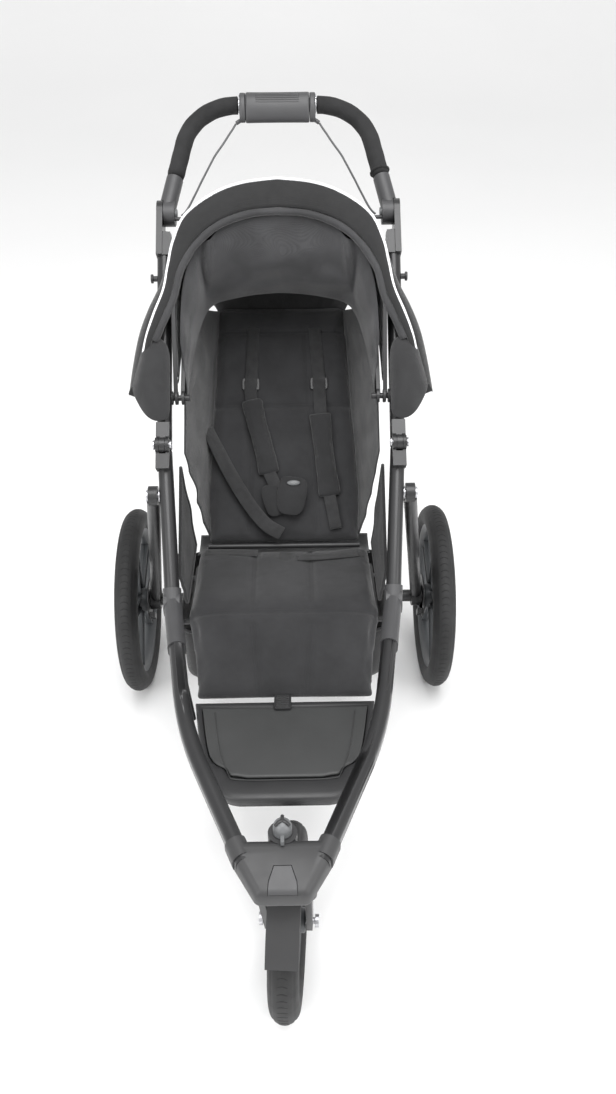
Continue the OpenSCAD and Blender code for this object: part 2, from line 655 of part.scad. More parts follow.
// ---- Footrest ----
module foot_outline(shrink) polygon([
  [-foot_w / 2 + shrink, -shrink], [foot_w / 2 - shrink, -shrink],
  [foot_front_w / 2 - shrink + 2, -foot_len + foot_round],
  [foot_front_w / 2 - foot_round * 0.5 - shrink, -foot_len + 8 + shrink],
  [foot_front_w / 2 - foot_round - shrink, -foot_len + shrink],
  [-foot_front_w / 2 + foot_round + shrink, -foot_len + shrink],
  [-foot_front_w / 2 + foot_round * 0.5 + shrink, -foot_len + 8 + shrink],
  [-foot_front_w / 2 + shrink - 2, -foot_len + foot_round]]);
module footrest_tray() color("gray") placed() translate([0, foot_back, foot_z]) difference() {
  translate([0, 0, -foot_wall]) linear_extrude(foot_wall) foot_outline(0);
  translate([0, 0, -foot_wall + 4]) linear_extrude(foot_wall - 8) foot_outline(4);
  translate([0, 0, -8]) linear_extrude(10) foot_outline(12);
}
module footrest_lid() color("dimgray") placed() translate([0, foot_back, foot_z])
  translate([0, 0, -4]) linear_extrude(6) foot_outline(13);
module footrest_latch() color("black") placed() translate([0, foot_back, foot_z]) {
  translate([-4, -9, 5.6]) rounded_box([30, 36, 5], 4);
  for (y = [-3 : 2]) translate([-4, -7 + y * 5, 9]) cube([22, 2, 2.2], center = true);
}

// ---- Basket: cloth walls on a floor, open at the top behind the seat ----
basket_y = [-322, -42];
basket_z = [214, 214 + basket_h];
module basket_side(shrink, top) polygon([
  [basket_y[0] + shrink, basket_z[1] + top], [basket_y[0] + shrink + 22, basket_z[0] + shrink],
  [basket_y[1] - shrink - 22, basket_z[0] + shrink], [basket_y[1] - shrink, basket_z[1] + top]]);
module basket() color([0.17, 0.17, 0.18]) placed() difference() {
  rotate([90, 0, 90]) linear_extrude(basket_w, center = true) basket_side(0, 0);
  rotate([90, 0, 90]) linear_extrude(basket_w - 8, center = true) basket_side(4, 10);
}

// ---- Canopy ----
// Half outline of a bow: [distance from the pivots, half width]
function bow_line(off) = [
  [40, canopy_half_w + off], [canopy_r * 0.5, canopy_half_w + off],
  [canopy_r * 0.7, canopy_half_w - 8 + off], [canopy_r * 0.84, canopy_half_w - 26 + off * 0.9],
  [canopy_r * 0.93, canopy_half_w - 70 + off * 0.6],
  [canopy_r * 0.98 + off * 0.9, canopy_half_w - 118], [canopy_r + off, canopy_half_w - 158],
  [canopy_r + off, 0]];
function flipped(line) = [for (p = line) [p[0], -p[1]]];
function reversed(line) = [for (i = [len(line) - 1 : -1 : 0]) line[i]];
module bow_band(off, t) polygon(concat(bow_line(off), reversed(flipped(bow_line(off))),
  flipped(bow_line(off - t)), reversed(bow_line(off - t))));
module canopy_turned(angle) placed() translate([0, pivot_at[0], pivot_at[1]])
  rotate([angle, 0, 0]) rotate([90, 0, 90]) children();
module canopy_shell(off, angles) canopy_turned(angles[0])
  rotate_extrude(angle = angles[1] - angles[0], $fn = 3 * smooth) bow_band(off, cloth_t);
module canopy_rear() color([0.2, 0.2, 0.21]) canopy_shell(-2 * shell_step, rear_angles);
module canopy_middle() color([0.2, 0.2, 0.21]) canopy_shell(-shell_step, mid_angles);
module canopy_front() color([0.2, 0.2, 0.21]) canopy_shell(0, front_angles);
// Flat bow with an arm and an eye at each pivot; ahead is its place in front of the angle
bow_t = 7;
bow_w = 8;
eye_ring_t = 5;
module bow(off, angle, ahead) placed() translate([0, pivot_at[0], pivot_at[1]]) {
  rotate([angle, 0, 0]) difference() {
    union() {
      translate([0, 0, ahead]) linear_extrude(bow_w) rotate(90) mirror([0, 1]) bow_band(off, bow_t);
      both_sides() translate([canopy_half_w + off - bow_t, 0, ahead]) cube([bow_t, 42, bow_w]);
      both_sides() pin_x(12, eye_ring_t, canopy_half_w + off - bow_t + eye_ring_t / 2);
    }
    both_sides() pin_x(pivot_pin_r + running, 10 * bow_t, canopy_half_w);
  }
}
pivot_pin_r = 5;
module front_bow() color("black") bow(0, bow_angle, 0.5);
module mid_bow() color("black") bow(-3 * shell_step - 1, mid_bow_angle, -bow_w / 2);
module canopy_pivots() color("black") upper_plane() both_sides() {
  face_x = half_at(pivot_l) - tube_w / 2;
  translate([0, pivot_l, 0]) {
    pin_x(pivot_pin_r, 34, face_x - 15);
    pin_x(12, 3, face_x - 1);
  }
  translate([0, upper_len - 125, 0]) {
    pin_x(5, 12, half_at(upper_len - 125) + tube_w / 2 + 5);
    pin_x(8, 4, half_at(upper_len - 125) + tube_w / 2 + 10);
  }
}
// Padded side wings of the canopy, hanging ahead of the upper tubes
module canopy_flaps() color([0.2, 0.2, 0.21]) upper_plane() both_sides()
  translate([0, 0, flap_n]) linear_extrude(flap_t)
    polygon([[205, 458], [232, 460], [250, 404], [258, 372], [244, 346], [224, 318],
      [190, 315], [190, 425]]);

// ---- Handlebar, in its own plane with the knuckle axis at the origin ----
bar_lean = 0.2125;      // the handlebar's arms lean in by this share of their length
bar_top_x = 157;        // half spacing where the arms would meet the top line
function arm_x(l) = bar_top_x + bar_lean * (bar_reach - l);
bend_steps = 10;
bar_dir = 90 + atan(bar_lean);
bend_cut = bar_bend_r * tan((180 - bar_dir) / 2);
bend_from = [bar_top_x, bar_reach] - bend_cut * [cos(bar_dir), sin(bar_dir)];
bend_centre = bend_from + bar_bend_r * [-sin(bar_dir), cos(bar_dir)];
// Middle line of the right arm and bend, from l0 up the arm to the top line
function arm_route(l0) = [[arm_x(l0), l0, 0], for (t = [bar_dir : (180 - bar_dir) / bend_steps : 180.1])
  [bend_centre[0] + bar_bend_r * sin(t), bend_centre[1] - bar_bend_r * cos(t), 0]];
function mirror_x(p) = [for (i = [len(p) - 1 : -1 : 0]) [-p[i][0], p[i][1], p[i][2]]];
bar_sides = 24;
bar_foot = 26;          // the arms start this far from the knuckle axis
module handlebar_tube() color("dimgray") bar_plane()
  sweep(concat(arm_route(bar_foot), mirror_x(arm_route(bar_foot))), bar_d / 2, bar_sides);
module arm_hole() translate([arm_x(bar_foot), bar_foot, 0]) rotate([0, 0, bar_dir - 90])
  bar_y(0, 120, bar_d, bar_d);
foam_start = 72;
module foam_grips() color([0.12, 0.12, 0.12]) bar_plane() both_sides() difference() {
  sweep(concat(arm_route(foam_start), [[grip_len / 2 + 2, bar_reach, 0]]),
    bar_d / 2 + foam_t, bar_sides);
  sweep(concat(arm_route(bar_foot), [[0, bar_reach, 0]]), bar_d / 2, bar_sides);
}
knuckle_t = 20;
knuckle_r = 22;
knuckle_x = top_half_w + tube_w / 2 - plate_w - gap - knuckle_t / 2;
button_r = 9;
button_len = 12;
button_out = 4;
neck_from = 10;
cheek_x = top_half_w + tube_w / 2 - plate_w;    // inner face of the tube's outer plate
module knuckles() color("gray") bar_plane() both_sides() {
  difference() {
    union() {
      pin_x(knuckle_r, knuckle_t, knuckle_x);
      translate([arm_x(neck_from), neck_from, 0]) rotate([0, 0, atan(bar_lean)])
        bar_y(0, foam_start - neck_from, bar_d + 5, bar_d + 9);
      strut([knuckle_x - knuckle_t / 2 + 1, -12, 4], [cable_end[0] - 2, -12, 4], 3.5);
    }
    arm_hole();
    pin_x(button_r + running, 2 * button_len + 2, knuckle_x - knuckle_t / 2);
    pin_x(plate_r + gap, 2 * plate_r, cheek_x - gap + plate_r);
  }
  pin_x(knuckle_pin_r, plate_w + 2 * gap + 2, cheek_x + plate_w / 2);
}
module tilt_button(side) color("lightgray") bar_plane() mirror([side > 0 ? 0 : 1, 0, 0])
  pin_x(button_r, button_len, knuckle_x - knuckle_t / 2 - button_out + button_len / 2);
module tilt_button_left() tilt_button(-1);
module tilt_button_right() tilt_button(1);

collar_w = 11;          // fixed collar at each end of the twist grip
rib_step = 12;          // angle between the ribs on the grip
rib_len = 80;
module grip_shape(len, r, x = 0) hull() {
  pin_x(r, len, x);
  translate([0, -grip_h / 2 + 4, 0]) pin_x(r - 9, len, x);
}
module at_bar() bar_plane() translate([0, bar_reach, 0]) children();
module grip_core() color("dimgray") at_bar() both_sides() difference() {
  union() {
    grip_shape(collar_w, grip_h / 2 - 5, grip_len / 2 - collar_w / 2);
    strut([grip_len / 2 - 6, -30, -2], [cable_exit[0] + 2, -bar_reach + cable_exit[1] - 1, -4], 4);
  }
  pin_x(bar_d / 2, grip_len + 20);
}
module twist_grip() color("dimgray") at_bar() difference() {
  union() {
    grip_shape(grip_len - 2 * collar_w - 2 * gap, grip_r);
    for (a = [-2 : 2]) rotate([a * rib_step, 0, 0]) translate([0, 0, grip_r])
      cube([rib_len, 2, 2], center = true);
  }
  pin_x(bar_d / 2 + running, grip_len);
}
module grip_trim() color("white") at_bar() both_sides()
  ring_x(grip_h / 2 - 6, bar_d / 2, 1.6, grip_len / 2 + 0.8);

// ---- Brake cables: a tube swept along the route ----
cable_end = CABLE[len(CABLE) - 1];
// Point between p1 and p2 on a smooth curve through p0 to p3
function curve_at(p0, p1, p2, p3, t) = 0.5 * (2 * p1 + (p2 - p0) * t
  + (2 * p0 - 5 * p1 + 4 * p2 - p3) * t * t + (3 * p1 - p0 - 3 * p2 + p3) * t * t * t);
function route(p) = [for (i = [0 : len(p) - 2], t = [0, 0.5])
  curve_at(p[max(i - 1, 0)], p[i], p[i + 1], p[min(i + 2, len(p) - 1)], t), p[len(p) - 1]];
function unit(v) = v / norm(v);
function tangent(p, i) = unit(p[min(i + 1, len(p) - 1)] - p[max(i - 1, 0)]);
function ring(p, i, r, sides) = let (t = tangent(p, i), a = unit(cross(t, [0, 0, 1])), b = cross(a, t))
  [for (k = [0 : sides - 1]) p[i] + r * (cos(k * 360 / sides) * a + sin(k * 360 / sides) * b)];
// A closed tube of radius r along the points p
module sweep(p, r, sides) {
  n = len(p);
  rings = [for (i = [0 : n - 1]) each ring(p, i, r, sides)];
  walls = [for (i = [0 : n - 2], k = [0 : sides - 1])
    [i * sides + k, i * sides + (k + 1) % sides,
     (i + 1) * sides + (k + 1) % sides, (i + 1) * sides + k]];
  first = [for (k = [sides - 1 : -1 : 0]) k];
  last = [for (k = [0 : sides - 1]) (n - 1) * sides + k];
  polyhedron(rings, concat(walls, [first, last]), convexity = 6);
}
cord_sides = 8;
module cord(points) sweep(route(points), cable_r, cord_sides);
module brake_cable_left() color([0.3, 0.3, 0.3]) bar_plane() mirror([1, 0, 0]) cord(CABLE);
module brake_cable_right() color([0.3, 0.3, 0.3]) bar_plane() cord(CABLE);

nose_yoke();
nose_inset();
swivel_bushes();
lower_tube_left();
lower_tube_right();
elbows();
mid_tubes();
fold_hinges();
hinge_pins();
side_hangers();
seat_board();
seat_cushion();
calf_panel();
side_panels();
footrest_tray();
footrest_lid();
footrest_latch();
basket();
waist_belt();
upper_tube_left();
upper_tube_right();
canopy_rear();
canopy_flaps();
canopy_pivots();
mid_bow();
canopy_middle();
front_bow();
canopy_front();
handlebar_tube();
foam_grips();
knuckles();
grip_core();
grip_trim();
brake_cable_left();
brake_cable_right();
twist_grip();
tilt_button_left();
tilt_button_right();
back_hinge();
back_pad();
harness_straps();
shoulder_pads();
harness_hardware();
buckle_cover();
rear_legs();
rear_axle();
brake_plates();
brake_pedal();
rear_tyre_left();
rear_rim_left();
rear_hub_left();
rear_tyre_right();
rear_rim_right();
rear_hub_right();
fork();
fork_fender();
front_axle();
front_tyre();
front_rim();
swivel_lock();
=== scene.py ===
# %% [markdown]
# # A folding jogging stroller
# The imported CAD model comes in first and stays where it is. Every soft piece, and every
# hard piece that needs finer shape than its CAD solid, is made here around it.
# All lengths are in metres, the front of the stroller faces -Y and +Z is up.

# %% Load the frame
import bpy
import bmesh
import json
import math
from mathutils import Vector, Matrix, noise

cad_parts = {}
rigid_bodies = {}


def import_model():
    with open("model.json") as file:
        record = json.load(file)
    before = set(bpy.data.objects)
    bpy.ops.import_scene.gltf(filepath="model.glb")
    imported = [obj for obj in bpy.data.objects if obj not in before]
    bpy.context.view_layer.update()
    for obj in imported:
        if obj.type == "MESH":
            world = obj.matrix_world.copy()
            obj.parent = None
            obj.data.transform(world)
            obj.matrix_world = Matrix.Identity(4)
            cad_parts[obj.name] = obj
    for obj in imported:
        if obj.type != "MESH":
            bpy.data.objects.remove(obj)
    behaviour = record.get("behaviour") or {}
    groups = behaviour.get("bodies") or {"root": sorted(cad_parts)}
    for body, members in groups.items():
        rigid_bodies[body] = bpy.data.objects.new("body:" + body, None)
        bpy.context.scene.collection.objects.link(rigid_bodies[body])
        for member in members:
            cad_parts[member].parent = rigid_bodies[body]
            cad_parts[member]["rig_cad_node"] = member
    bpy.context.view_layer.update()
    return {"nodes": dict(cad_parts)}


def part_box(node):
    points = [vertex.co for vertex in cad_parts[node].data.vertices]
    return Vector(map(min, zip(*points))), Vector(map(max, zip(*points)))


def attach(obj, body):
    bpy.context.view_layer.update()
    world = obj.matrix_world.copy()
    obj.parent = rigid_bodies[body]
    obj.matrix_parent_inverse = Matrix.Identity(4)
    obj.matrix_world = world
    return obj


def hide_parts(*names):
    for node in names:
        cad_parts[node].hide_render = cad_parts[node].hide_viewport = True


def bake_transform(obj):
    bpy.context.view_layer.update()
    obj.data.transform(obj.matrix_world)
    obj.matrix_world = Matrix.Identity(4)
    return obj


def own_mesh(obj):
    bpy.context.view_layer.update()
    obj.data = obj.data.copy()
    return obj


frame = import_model()
scene = bpy.context.scene

# %% [markdown]
# The frame was laid out from a side view: lower tubes that rise slowly to an elbow, and
# upper tubes that climb from there to the handlebar. The same few numbers are repeated
# here, so that cloth and cables can be laid on the tubes by their own measures.

# %% Places on the frame
tyre_lo, tyre_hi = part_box("rear_tyre_left")
AXLE_Y = (tyre_lo.y + tyre_hi.y) / 2
UPPER_SLOPE, BAR_SLOPE, BACK_SLOPE = math.radians(46.6), math.radians(44), math.radians(47.4)
ELBOW = Vector((0, AXLE_Y - 0.400, 0.482))
CREASE = Vector((0, AXLE_Y - 0.152, 0.434))


def on_plane(origin, slope, x, along, out=0.0):
    """A point x to the side, so far along a sloping plane and so far out of it."""
    return origin + Vector((x, along * math.cos(slope) - out * math.sin(slope),
                            along * math.sin(slope) + out * math.cos(slope)))


def up(x, along, out=0.0):
    return on_plane(ELBOW, UPPER_SLOPE, x, along, out)


KNUCKLE = up(0, 0.713)
PIVOT = up(0, 0.364)


def on_bar(x, along, out=0.0):
    return on_plane(KNUCKLE, BAR_SLOPE, x, along, out)


def on_back(x, along, out=0.0):
    return on_plane(CREASE, BACK_SLOPE, x, along, out)


print("rear axle at y", round(AXLE_Y, 4), "canopy pivots", [round(v, 3) for v in PIVOT])

# %% [markdown]
# The camera stands in front of the stroller, a little above the handlebar, and looks down
# at it. A tall sensor fit keeps the lens tied to the height of the picture.

# %% Camera
lens = bpy.data.cameras.new("view_lens")
lens.sensor_fit = "VERTICAL"
lens.sensor_height = 36.0
lens.sensor_width = 36.0
lens.lens = 32.28
camera = bpy.data.objects.new("view", lens)
scene.collection.objects.link(camera)
camera.location = (0.025, AXLE_Y - 1.737, 1.479)
print("lens", lens.lens, "mm at", [round(v, 3) for v in camera.location])
across = Vector((0.99983846, -0.01708234, -0.00559012))
upward = Vector((0.01408861, 0.55172062, 0.83390999))
turn = Matrix((across, upward, across.cross(upward))).transposed()
camera.rotation_euler = turn.to_euler()
scene.camera = camera

# %% [markdown]
# A few short helpers make every mesh. A grid of points becomes a sheet, and a ring of
# points carried along a path becomes a tube. Each piece keeps its object at the origin,
# so a pattern that reads Object coordinates lies still on it.

# %% Mesh helpers
def new_piece(name, points, faces, smooth=True):
    mesh = bpy.data.meshes.new(name)
    mesh.from_pydata([tuple(p) for p in points], [], faces)
    mesh.validate()
    for polygon in mesh.polygons:
        polygon.use_smooth = smooth
    piece = bpy.data.objects.new(name, mesh)
    scene.collection.objects.link(piece)
    return piece


def grid_faces(rows, columns, wrap=False):
    last = columns if wrap else columns - 1
    return [(r * columns + c, r * columns + (c + 1) % columns,
             (r + 1) * columns + (c + 1) % columns, (r + 1) * columns + c)
            for r in range(rows - 1) for c in range(last)]


def outward(piece):
    """Merge doubles and turn every face outwards."""
    bm = bmesh.new()
    bm.from_mesh(piece.data)
    bmesh.ops.remove_doubles(bm, verts=bm.verts, dist=1e-6)
    bmesh.ops.recalc_face_normals(bm, faces=bm.faces)
    bm.to_mesh(piece.data)
    bm.free()
    return piece


def loft(name, rings, caps=True):
    """Closed rings of equal size joined into a tube, with its ends filled."""
    size = len(rings[0])
    faces = grid_faces(len(rings), size, wrap=True)
    if caps:
        faces += [tuple(range(size))[::-1],
                  tuple((len(rings) - 1) * size + i for i in range(size))]
    return outward(new_piece(name, [p for ring in rings for p in ring], faces))


def smooth_line(points, steps=6):
    """A curve through the points, with so many steps between each pair."""
    made = []
    for i in range(len(points) - 1):
        a, b = points[max(i - 1, 0)], points[i]
        c, d = points[i + 1], points[min(i + 2, len(points) - 1)]
        for k in range(steps):
            t = k / steps
            made.append(0.5 * (2 * b + (c - a) * t + (2 * a - 5 * b + 4 * c - d) * t * t
                               + (3 * b - a - 3 * c + d) * t ** 3))
    return made + [points[-1]]


def sweep(name, path, width, depth=None, side=Vector((1, 0, 0)), sides=20, square=False):
    """An oval or a rounded bar carried along a path. side points along its width."""
    depth, rings = depth or width, []
    for i, p in enumerate(path):
        along = (path[min(i + 1, len(path) - 1)] - path[max(i - 1, 0)]).normalized()
        a = (side - along * side.dot(along)).normalized()
        b = along.cross(a)
        power = 0.45 if square else 1.0
        ring = []
        for k in range(sides):
            c, s = math.cos(k * math.tau / sides), math.sin(k * math.tau / sides)
            ring.append(p + a * math.copysign(abs(c) ** power, c) * width / 2
                        + b * math.copysign(abs(s) ** power, s) * depth / 2)
        rings.append(ring)
    return loft(name, rings)


def lathe(name, profile, centre, axis="X", steps=96):
    """A profile of (along the axis, radius) turned round the axis, as a closed ring."""
    rings = []
    for k in range(steps):
        c, s = math.cos(k * math.tau / steps), math.sin(k * math.tau / steps)
        if axis == "X":
            rings.append([centre + Vector((x, r * c, r * s)) for x, r in profile])
        else:
            rings.append([centre + Vector((r * c, r * s, x)) for x, r in profile])
    size = len(profile)
    faces = [(a * size + b, a * size + (b + 1) % size,
              (a + 1) % steps * size + (b + 1) % size, (a + 1) % steps * size + b)
             for a in range(steps) for b in range(size)]
    return outward(new_piece(name, [p for ring in rings for p in ring], faces))


def apply_all(piece):
    """Turn a piece and its modifiers into a plain mesh."""
    graph = bpy.context.evaluated_depsgraph_get()
    mesh = bpy.data.meshes.new_from_object(piece.evaluated_get(graph))
    piece.modifiers.clear()
    piece.data = mesh
    return piece


def bevel(piece, width, segments=3, angle=35):
    mod = piece.modifiers.new("soft_edges", "BEVEL")
    mod.width, mod.segments, mod.limit_method = width, segments, "ANGLE"
    mod.angle_limit = math.radians(angle)
    return piece


def subdivide(piece, levels):
    mod = piece.modifiers.new("rounding", "SUBSURF")
    mod.levels = mod.render_levels = levels
    return piece


def thicken(piece, depth, offset=-1, inner_slot=None):
    mod = piece.modifiers.new("cloth_thickness", "SOLIDIFY")
    mod.thickness, mod.offset = depth, offset
    if inner_slot is not None:
        mod.material_offset = inner_slot
    return piece


def join(name, pieces):
    """Several meshes as one piece. Their materials come along."""
    points, faces, slots, marks = [], [], [], []
    for piece in pieces:
        base = len(points)
        points += [piece.matrix_world @ v.co for v in piece.data.vertices]
        shift = []
        for material in piece.data.materials:
            if material not in slots:
                slots.append(material)
            shift.append(slots.index(material))
        for polygon in piece.data.polygons:
            faces.append(tuple(base + v for v in polygon.vertices))
            marks.append((shift[polygon.material_index] if shift else 0, polygon.use_smooth))
        bpy.data.objects.remove(piece)
    made = new_piece(name, points, faces)
    for material in slots:
        made.data.materials.append(material)
    for polygon, (slot, smooth) in zip(made.data.polygons, marks):
        polygon.material_index, polygon.use_smooth = slot, smooth
    return made


print("helpers ready")

# %% [markdown]
# Hard pieces whose CAD shape is right are copied, their loose triangles are merged, and
# flat areas are joined. Edges sharper than 35 degrees stay sharp and get a small bevel,
# because a moulded or machined edge always catches a line of light.

# %% Copy of a CAD node with soft edges
def from_cad(*nodes, edge=0.0008, name=None):
    pieces = []
    for node in nodes:
        source = frame["nodes"][node]
        bm = bmesh.new()
        bm.from_mesh(source.data)
        bmesh.ops.remove_doubles(bm, verts=bm.verts, dist=2e-6)
        bmesh.ops.dissolve_limit(bm, angle_limit=math.radians(0.4), verts=bm.verts,
                                 edges=bm.edges)
        for face in bm.faces:
            face.smooth = True
        for line in bm.edges:
            line.smooth = not (line.is_manifold and line.calc_face_angle(0) > math.radians(35))
        mesh = bpy.data.meshes.new(node + "_shape")
        bm.to_mesh(mesh)
        bm.free()
        piece = bpy.data.objects.new(name or node + "_made", mesh)
        scene.collection.objects.link(piece)
        if edge:
            bevel(piece, edge, 2)
            piece.modifiers[-1].harden_normals = True
            apply_all(piece)
        pieces.append(piece)
    return pieces if len(pieces) > 1 else pieces[0]


def place(piece, material, body, *nodes, slot=None):
    """Give a piece its material and its CAD body, and hide the CAD nodes that it stands for."""
    if material is not None:
        piece.data.materials.clear()
        piece.data.materials.append(material)
    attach(piece, body)
    if nodes:
        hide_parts(*nodes)
    return piece


# %% [markdown]
# Every finish is a small node tree on the Principled shader. The base colour is varied by
# slow noise, roughness by a finer one, and a bump gives the grain of the moulding, the
# weave of the cloth or the orange peel of the paint.

# %% Shader helpers
class Finish:
    def __init__(self, name, colour, roughness, metallic=0.0, **extra):
        self.material = bpy.data.materials.new(name)
        self.material.use_nodes = True
        self.tree = self.material.node_tree
        self.shader = self.tree.nodes["Principled BSDF"]
        self.shader.inputs["Base Color"].default_value = (*colour, 1)
        self.shader.inputs["Roughness"].default_value = roughness
        self.shader.inputs["Metallic"].default_value = metallic
        for key, value in extra.items():
            self.shader.inputs[key.replace("_", " ")].default_value = value
        self.colour, self.roughness = colour, roughness
        self.where = self.node("ShaderNodeTexCoord").outputs["Object"]
        self.height = None

    def node(self, kind, **values):
        made = self.tree.nodes.new(kind)
        for key, value in values.items():
            setattr(made, key, value)
        return made

    def link(self, a, b):
        self.tree.links.new(a, b)

    def noise(self, scale, detail=3.0, stretch=None):
        made = self.node("ShaderNodeTexNoise")
        made.inputs["Scale"].default_value = scale
        made.inputs["Detail"].default_value = detail
        where = self.where
        if stretch:
            mapping = self.node("ShaderNodeMapping")
            mapping.inputs["Scale"].default_value = stretch
            self.link(self.where, mapping.inputs["Vector"])
            where = mapping.outputs["Vector"]
        self.link(where, made.inputs["Vector"])
        return made.outputs["Fac"]

    def wave(self, scale, direction, distortion=0.4, turn=(0, 0, 0)):
        made = self.node("ShaderNodeTexWave", bands_direction=direction)
        made.inputs["Scale"].default_value = scale
        made.inputs["Distortion"].default_value = distortion
        made.inputs["Detail"].default_value = 1.0
        mapping = self.node("ShaderNodeMapping")
        mapping.inputs["Rotation"].default_value = turn
        self.link(self.where, mapping.inputs["Vector"])
        self.link(mapping.outputs["Vector"], made.inputs["Vector"])
        return made.outputs["Fac"]

    def ramp(self, source, low, high, start=0.35, stop=0.65):
        made = self.node("ShaderNodeValToRGB")
        made.color_ramp.elements[0].position = start
        made.color_ramp.elements[1].position = stop
        made.color_ramp.elements[0].color = (*low, 1)
        made.color_ramp.elements[1].color = (*high, 1)
        self.link(source, made.inputs["Fac"])
        return made.outputs["Color"]

    def mottle(self, source, share=0.25, start=0.35, stop=0.65):
        """Vary the base colour by so much, up and down."""
        low = [c * (1 - share) for c in self.colour]
        high = [min(1, c * (1 + share)) for c in self.colour]
        self.link(self.ramp(source, low, high, start, stop), self.shader.inputs["Base Color"])
        return self

    def uneven(self, source, spread=0.1):
        made = self.node("ShaderNodeMapRange")
        made.inputs["To Min"].default_value = max(0.02, self.roughness - spread)
        made.inputs["To Max"].default_value = min(1.0, self.roughness + spread)
        self.link(source, made.inputs["Value"])
        self.link(made.outputs["Result"], self.shader.inputs["Roughness"])
        return self

    def bump(self, source, depth, strength=0.6):
        made = self.node("ShaderNodeBump")
        made.inputs["Distance"].default_value = depth
        made.inputs["Strength"].default_value = strength
        self.link(source, made.inputs["Height"])
        if self.height:
            self.link(self.height, made.inputs["Normal"])
        self.height = made.outputs["Normal"]
        self.link(self.height, self.shader.inputs["Normal"])
        return self

    def mix(self, a, b):
        made = self.node("ShaderNodeMath", operation="MULTIPLY")
        self.link(a, made.inputs[0])
        self.link(b, made.inputs[1])
        return made.outputs["Value"]


def moulded(name, colour, roughness, grain=900, share=0.08):
    made = Finish(name, colour, roughness)
    made.mottle(made.noise(9, 4), share).uneven(made.noise(60, 2), 0.07)
    return made.bump(made.noise(grain, 2), 0.0004, 0.35).material


def painted(name, colour, roughness, metallic=0.35):
    made = Finish(name, colour, roughness, metallic, Coat_Weight=0.25, Coat_Roughness=0.25)
    made.mottle(made.noise(14, 5), 0.07).uneven(made.noise(45, 3), 0.06)
    return made.bump(made.noise(420, 2), 0.0003, 0.25).material


def woven(name, colour, roughness=0.85, pitch=420, tilt=(0, 0, 0), share=0.14, sheen=0.25):
    made = Finish(name, colour, roughness, Sheen_Weight=sheen, Sheen_Roughness=0.4)
    warp = made.wave(pitch, "X", 0.5, tilt)
    weft = made.wave(pitch, "Y", 0.5, tilt)
    made.mottle(made.noise(22, 6), share).uneven(made.noise(90, 3), 0.06)
    made.bump(made.noise(34, 4), 0.004, 0.25)
    return made.bump(made.mix(warp, weft), 0.0006, 0.55).material


# %% [markdown]
# The frame is satin black paint with a wide soft highlight. The nose, footrest and elbows
# are moulded plastic with a fine grain, a shade lighter. Foam sleeves and tyres are the
# darkest, with an open matt grain.

# %% Hard finishes
PAINT = painted("satin_black_paint", (0.021, 0.021, 0.022), 0.36)
PAINT_DARK = painted("black_paint", (0.02, 0.02, 0.021), 0.42)
NOSE = moulded("nose_moulding", (0.03, 0.03, 0.031), 0.5)
FOOT = moulded("footrest_moulding", (0.04, 0.041, 0.041), 0.52, 1100)
FOOT_RIM = moulded("footrest_rim", (0.024, 0.024, 0.025), 0.45)
PLASTIC = moulded("black_plastic", (0.022, 0.022, 0.023), 0.42)
GREY = moulded("grey_plastic", (0.06, 0.062, 0.064), 0.42)
LIGHT = moulded("light_grey_plastic", (0.13, 0.134, 0.138), 0.4)
GRIP = moulded("grip_moulding", (0.045, 0.045, 0.047), 0.46)
RIM = moulded("rim_moulding", (0.06, 0.064, 0.068), 0.42)
FENDER = moulded("fender_moulding", (0.03, 0.03, 0.031), 0.5)

foam = Finish("foam_sleeve", (0.012, 0.012, 0.0125), 0.9)
foam.mottle(foam.noise(30, 4), 0.3).bump(foam.noise(700, 3), 0.0012, 0.6)
FOAM = foam.material

rubber = Finish("tyre_rubber", (0.012, 0.012, 0.0125), 0.68)
rubber.mottle(rubber.noise(12, 5), 0.35).uneven(rubber.noise(50, 3), 0.12)
rubber.bump(rubber.noise(520, 2), 0.0005, 0.4)
TYRE = rubber.material

metal = Finish("turned_steel", (0.55, 0.55, 0.57), 0.32, 1.0)
metal.mottle(metal.noise(40, 3), 0.08).bump(metal.noise(300, 2, (1, 40, 40)), 0.0003, 0.3)
STEEL = metal.material

bright = Finish("bright_trim", (0.8, 0.8, 0.82), 0.16, 1.0)
bright.uneven(bright.noise(60, 3), 0.06)
BRIGHT = bright.material
print("hard finishes", len(bpy.data.materials))

# %% [markdown]
# The cloth is a tight plain weave in charcoal. Warp and weft are two sets of fine bands
# whose product is the bump, and a slow noise below them gives the soft unevenness of
# washed fabric. The lining is the same cloth, a shade lighter and thinner.

# %% Cloth finishes
CLOTH = woven("seat_cloth", (0.024, 0.024, 0.0255), 0.9, 420)
CANOPY_OUT = woven("canopy_cloth", (0.01, 0.01, 0.0105), 0.82, 380)
LINING = woven("canopy_lining", (0.034, 0.034, 0.036), 0.8, 460, share=0.2)
PAD_CLOTH = woven("pad_cloth", (0.017, 0.017, 0.018), 0.86, 420)
BASKET = woven("basket_cloth", (0.012, 0.012, 0.0125), 0.88, 300)

web = Finish("harness_webbing", (0.02, 0.02, 0.021), 0.7, Sheen_Weight=0.15)
web.mottle(web.noise(60, 4), 0.25)
web.bump(web.mix(web.wave(900, "DIAGONAL"), web.wave(300, "X")), 0.0007, 0.7)
WEBBING = web.material

net = Finish("net_cloth", (0.018, 0.018, 0.019), 0.8, Sheen_Weight=0.1)
cells = net.node("ShaderNodeTexVoronoi")
cells.inputs["Scale"].default_value = 420
net.link(net.where, cells.inputs["Vector"])
net.mottle(cells.outputs["Distance"], 0.6).bump(cells.outputs["Distance"], 0.001, 0.8)
NET = net.material

piping = Finish("silver_piping", (0.80, 0.80, 0.82), 0.35, 0.1, Sheen_Weight=0.2)
piping.mottle(piping.noise(80, 3), 0.08).bump(piping.noise(900, 2), 0.0004, 0.4)
PIPING = piping.material

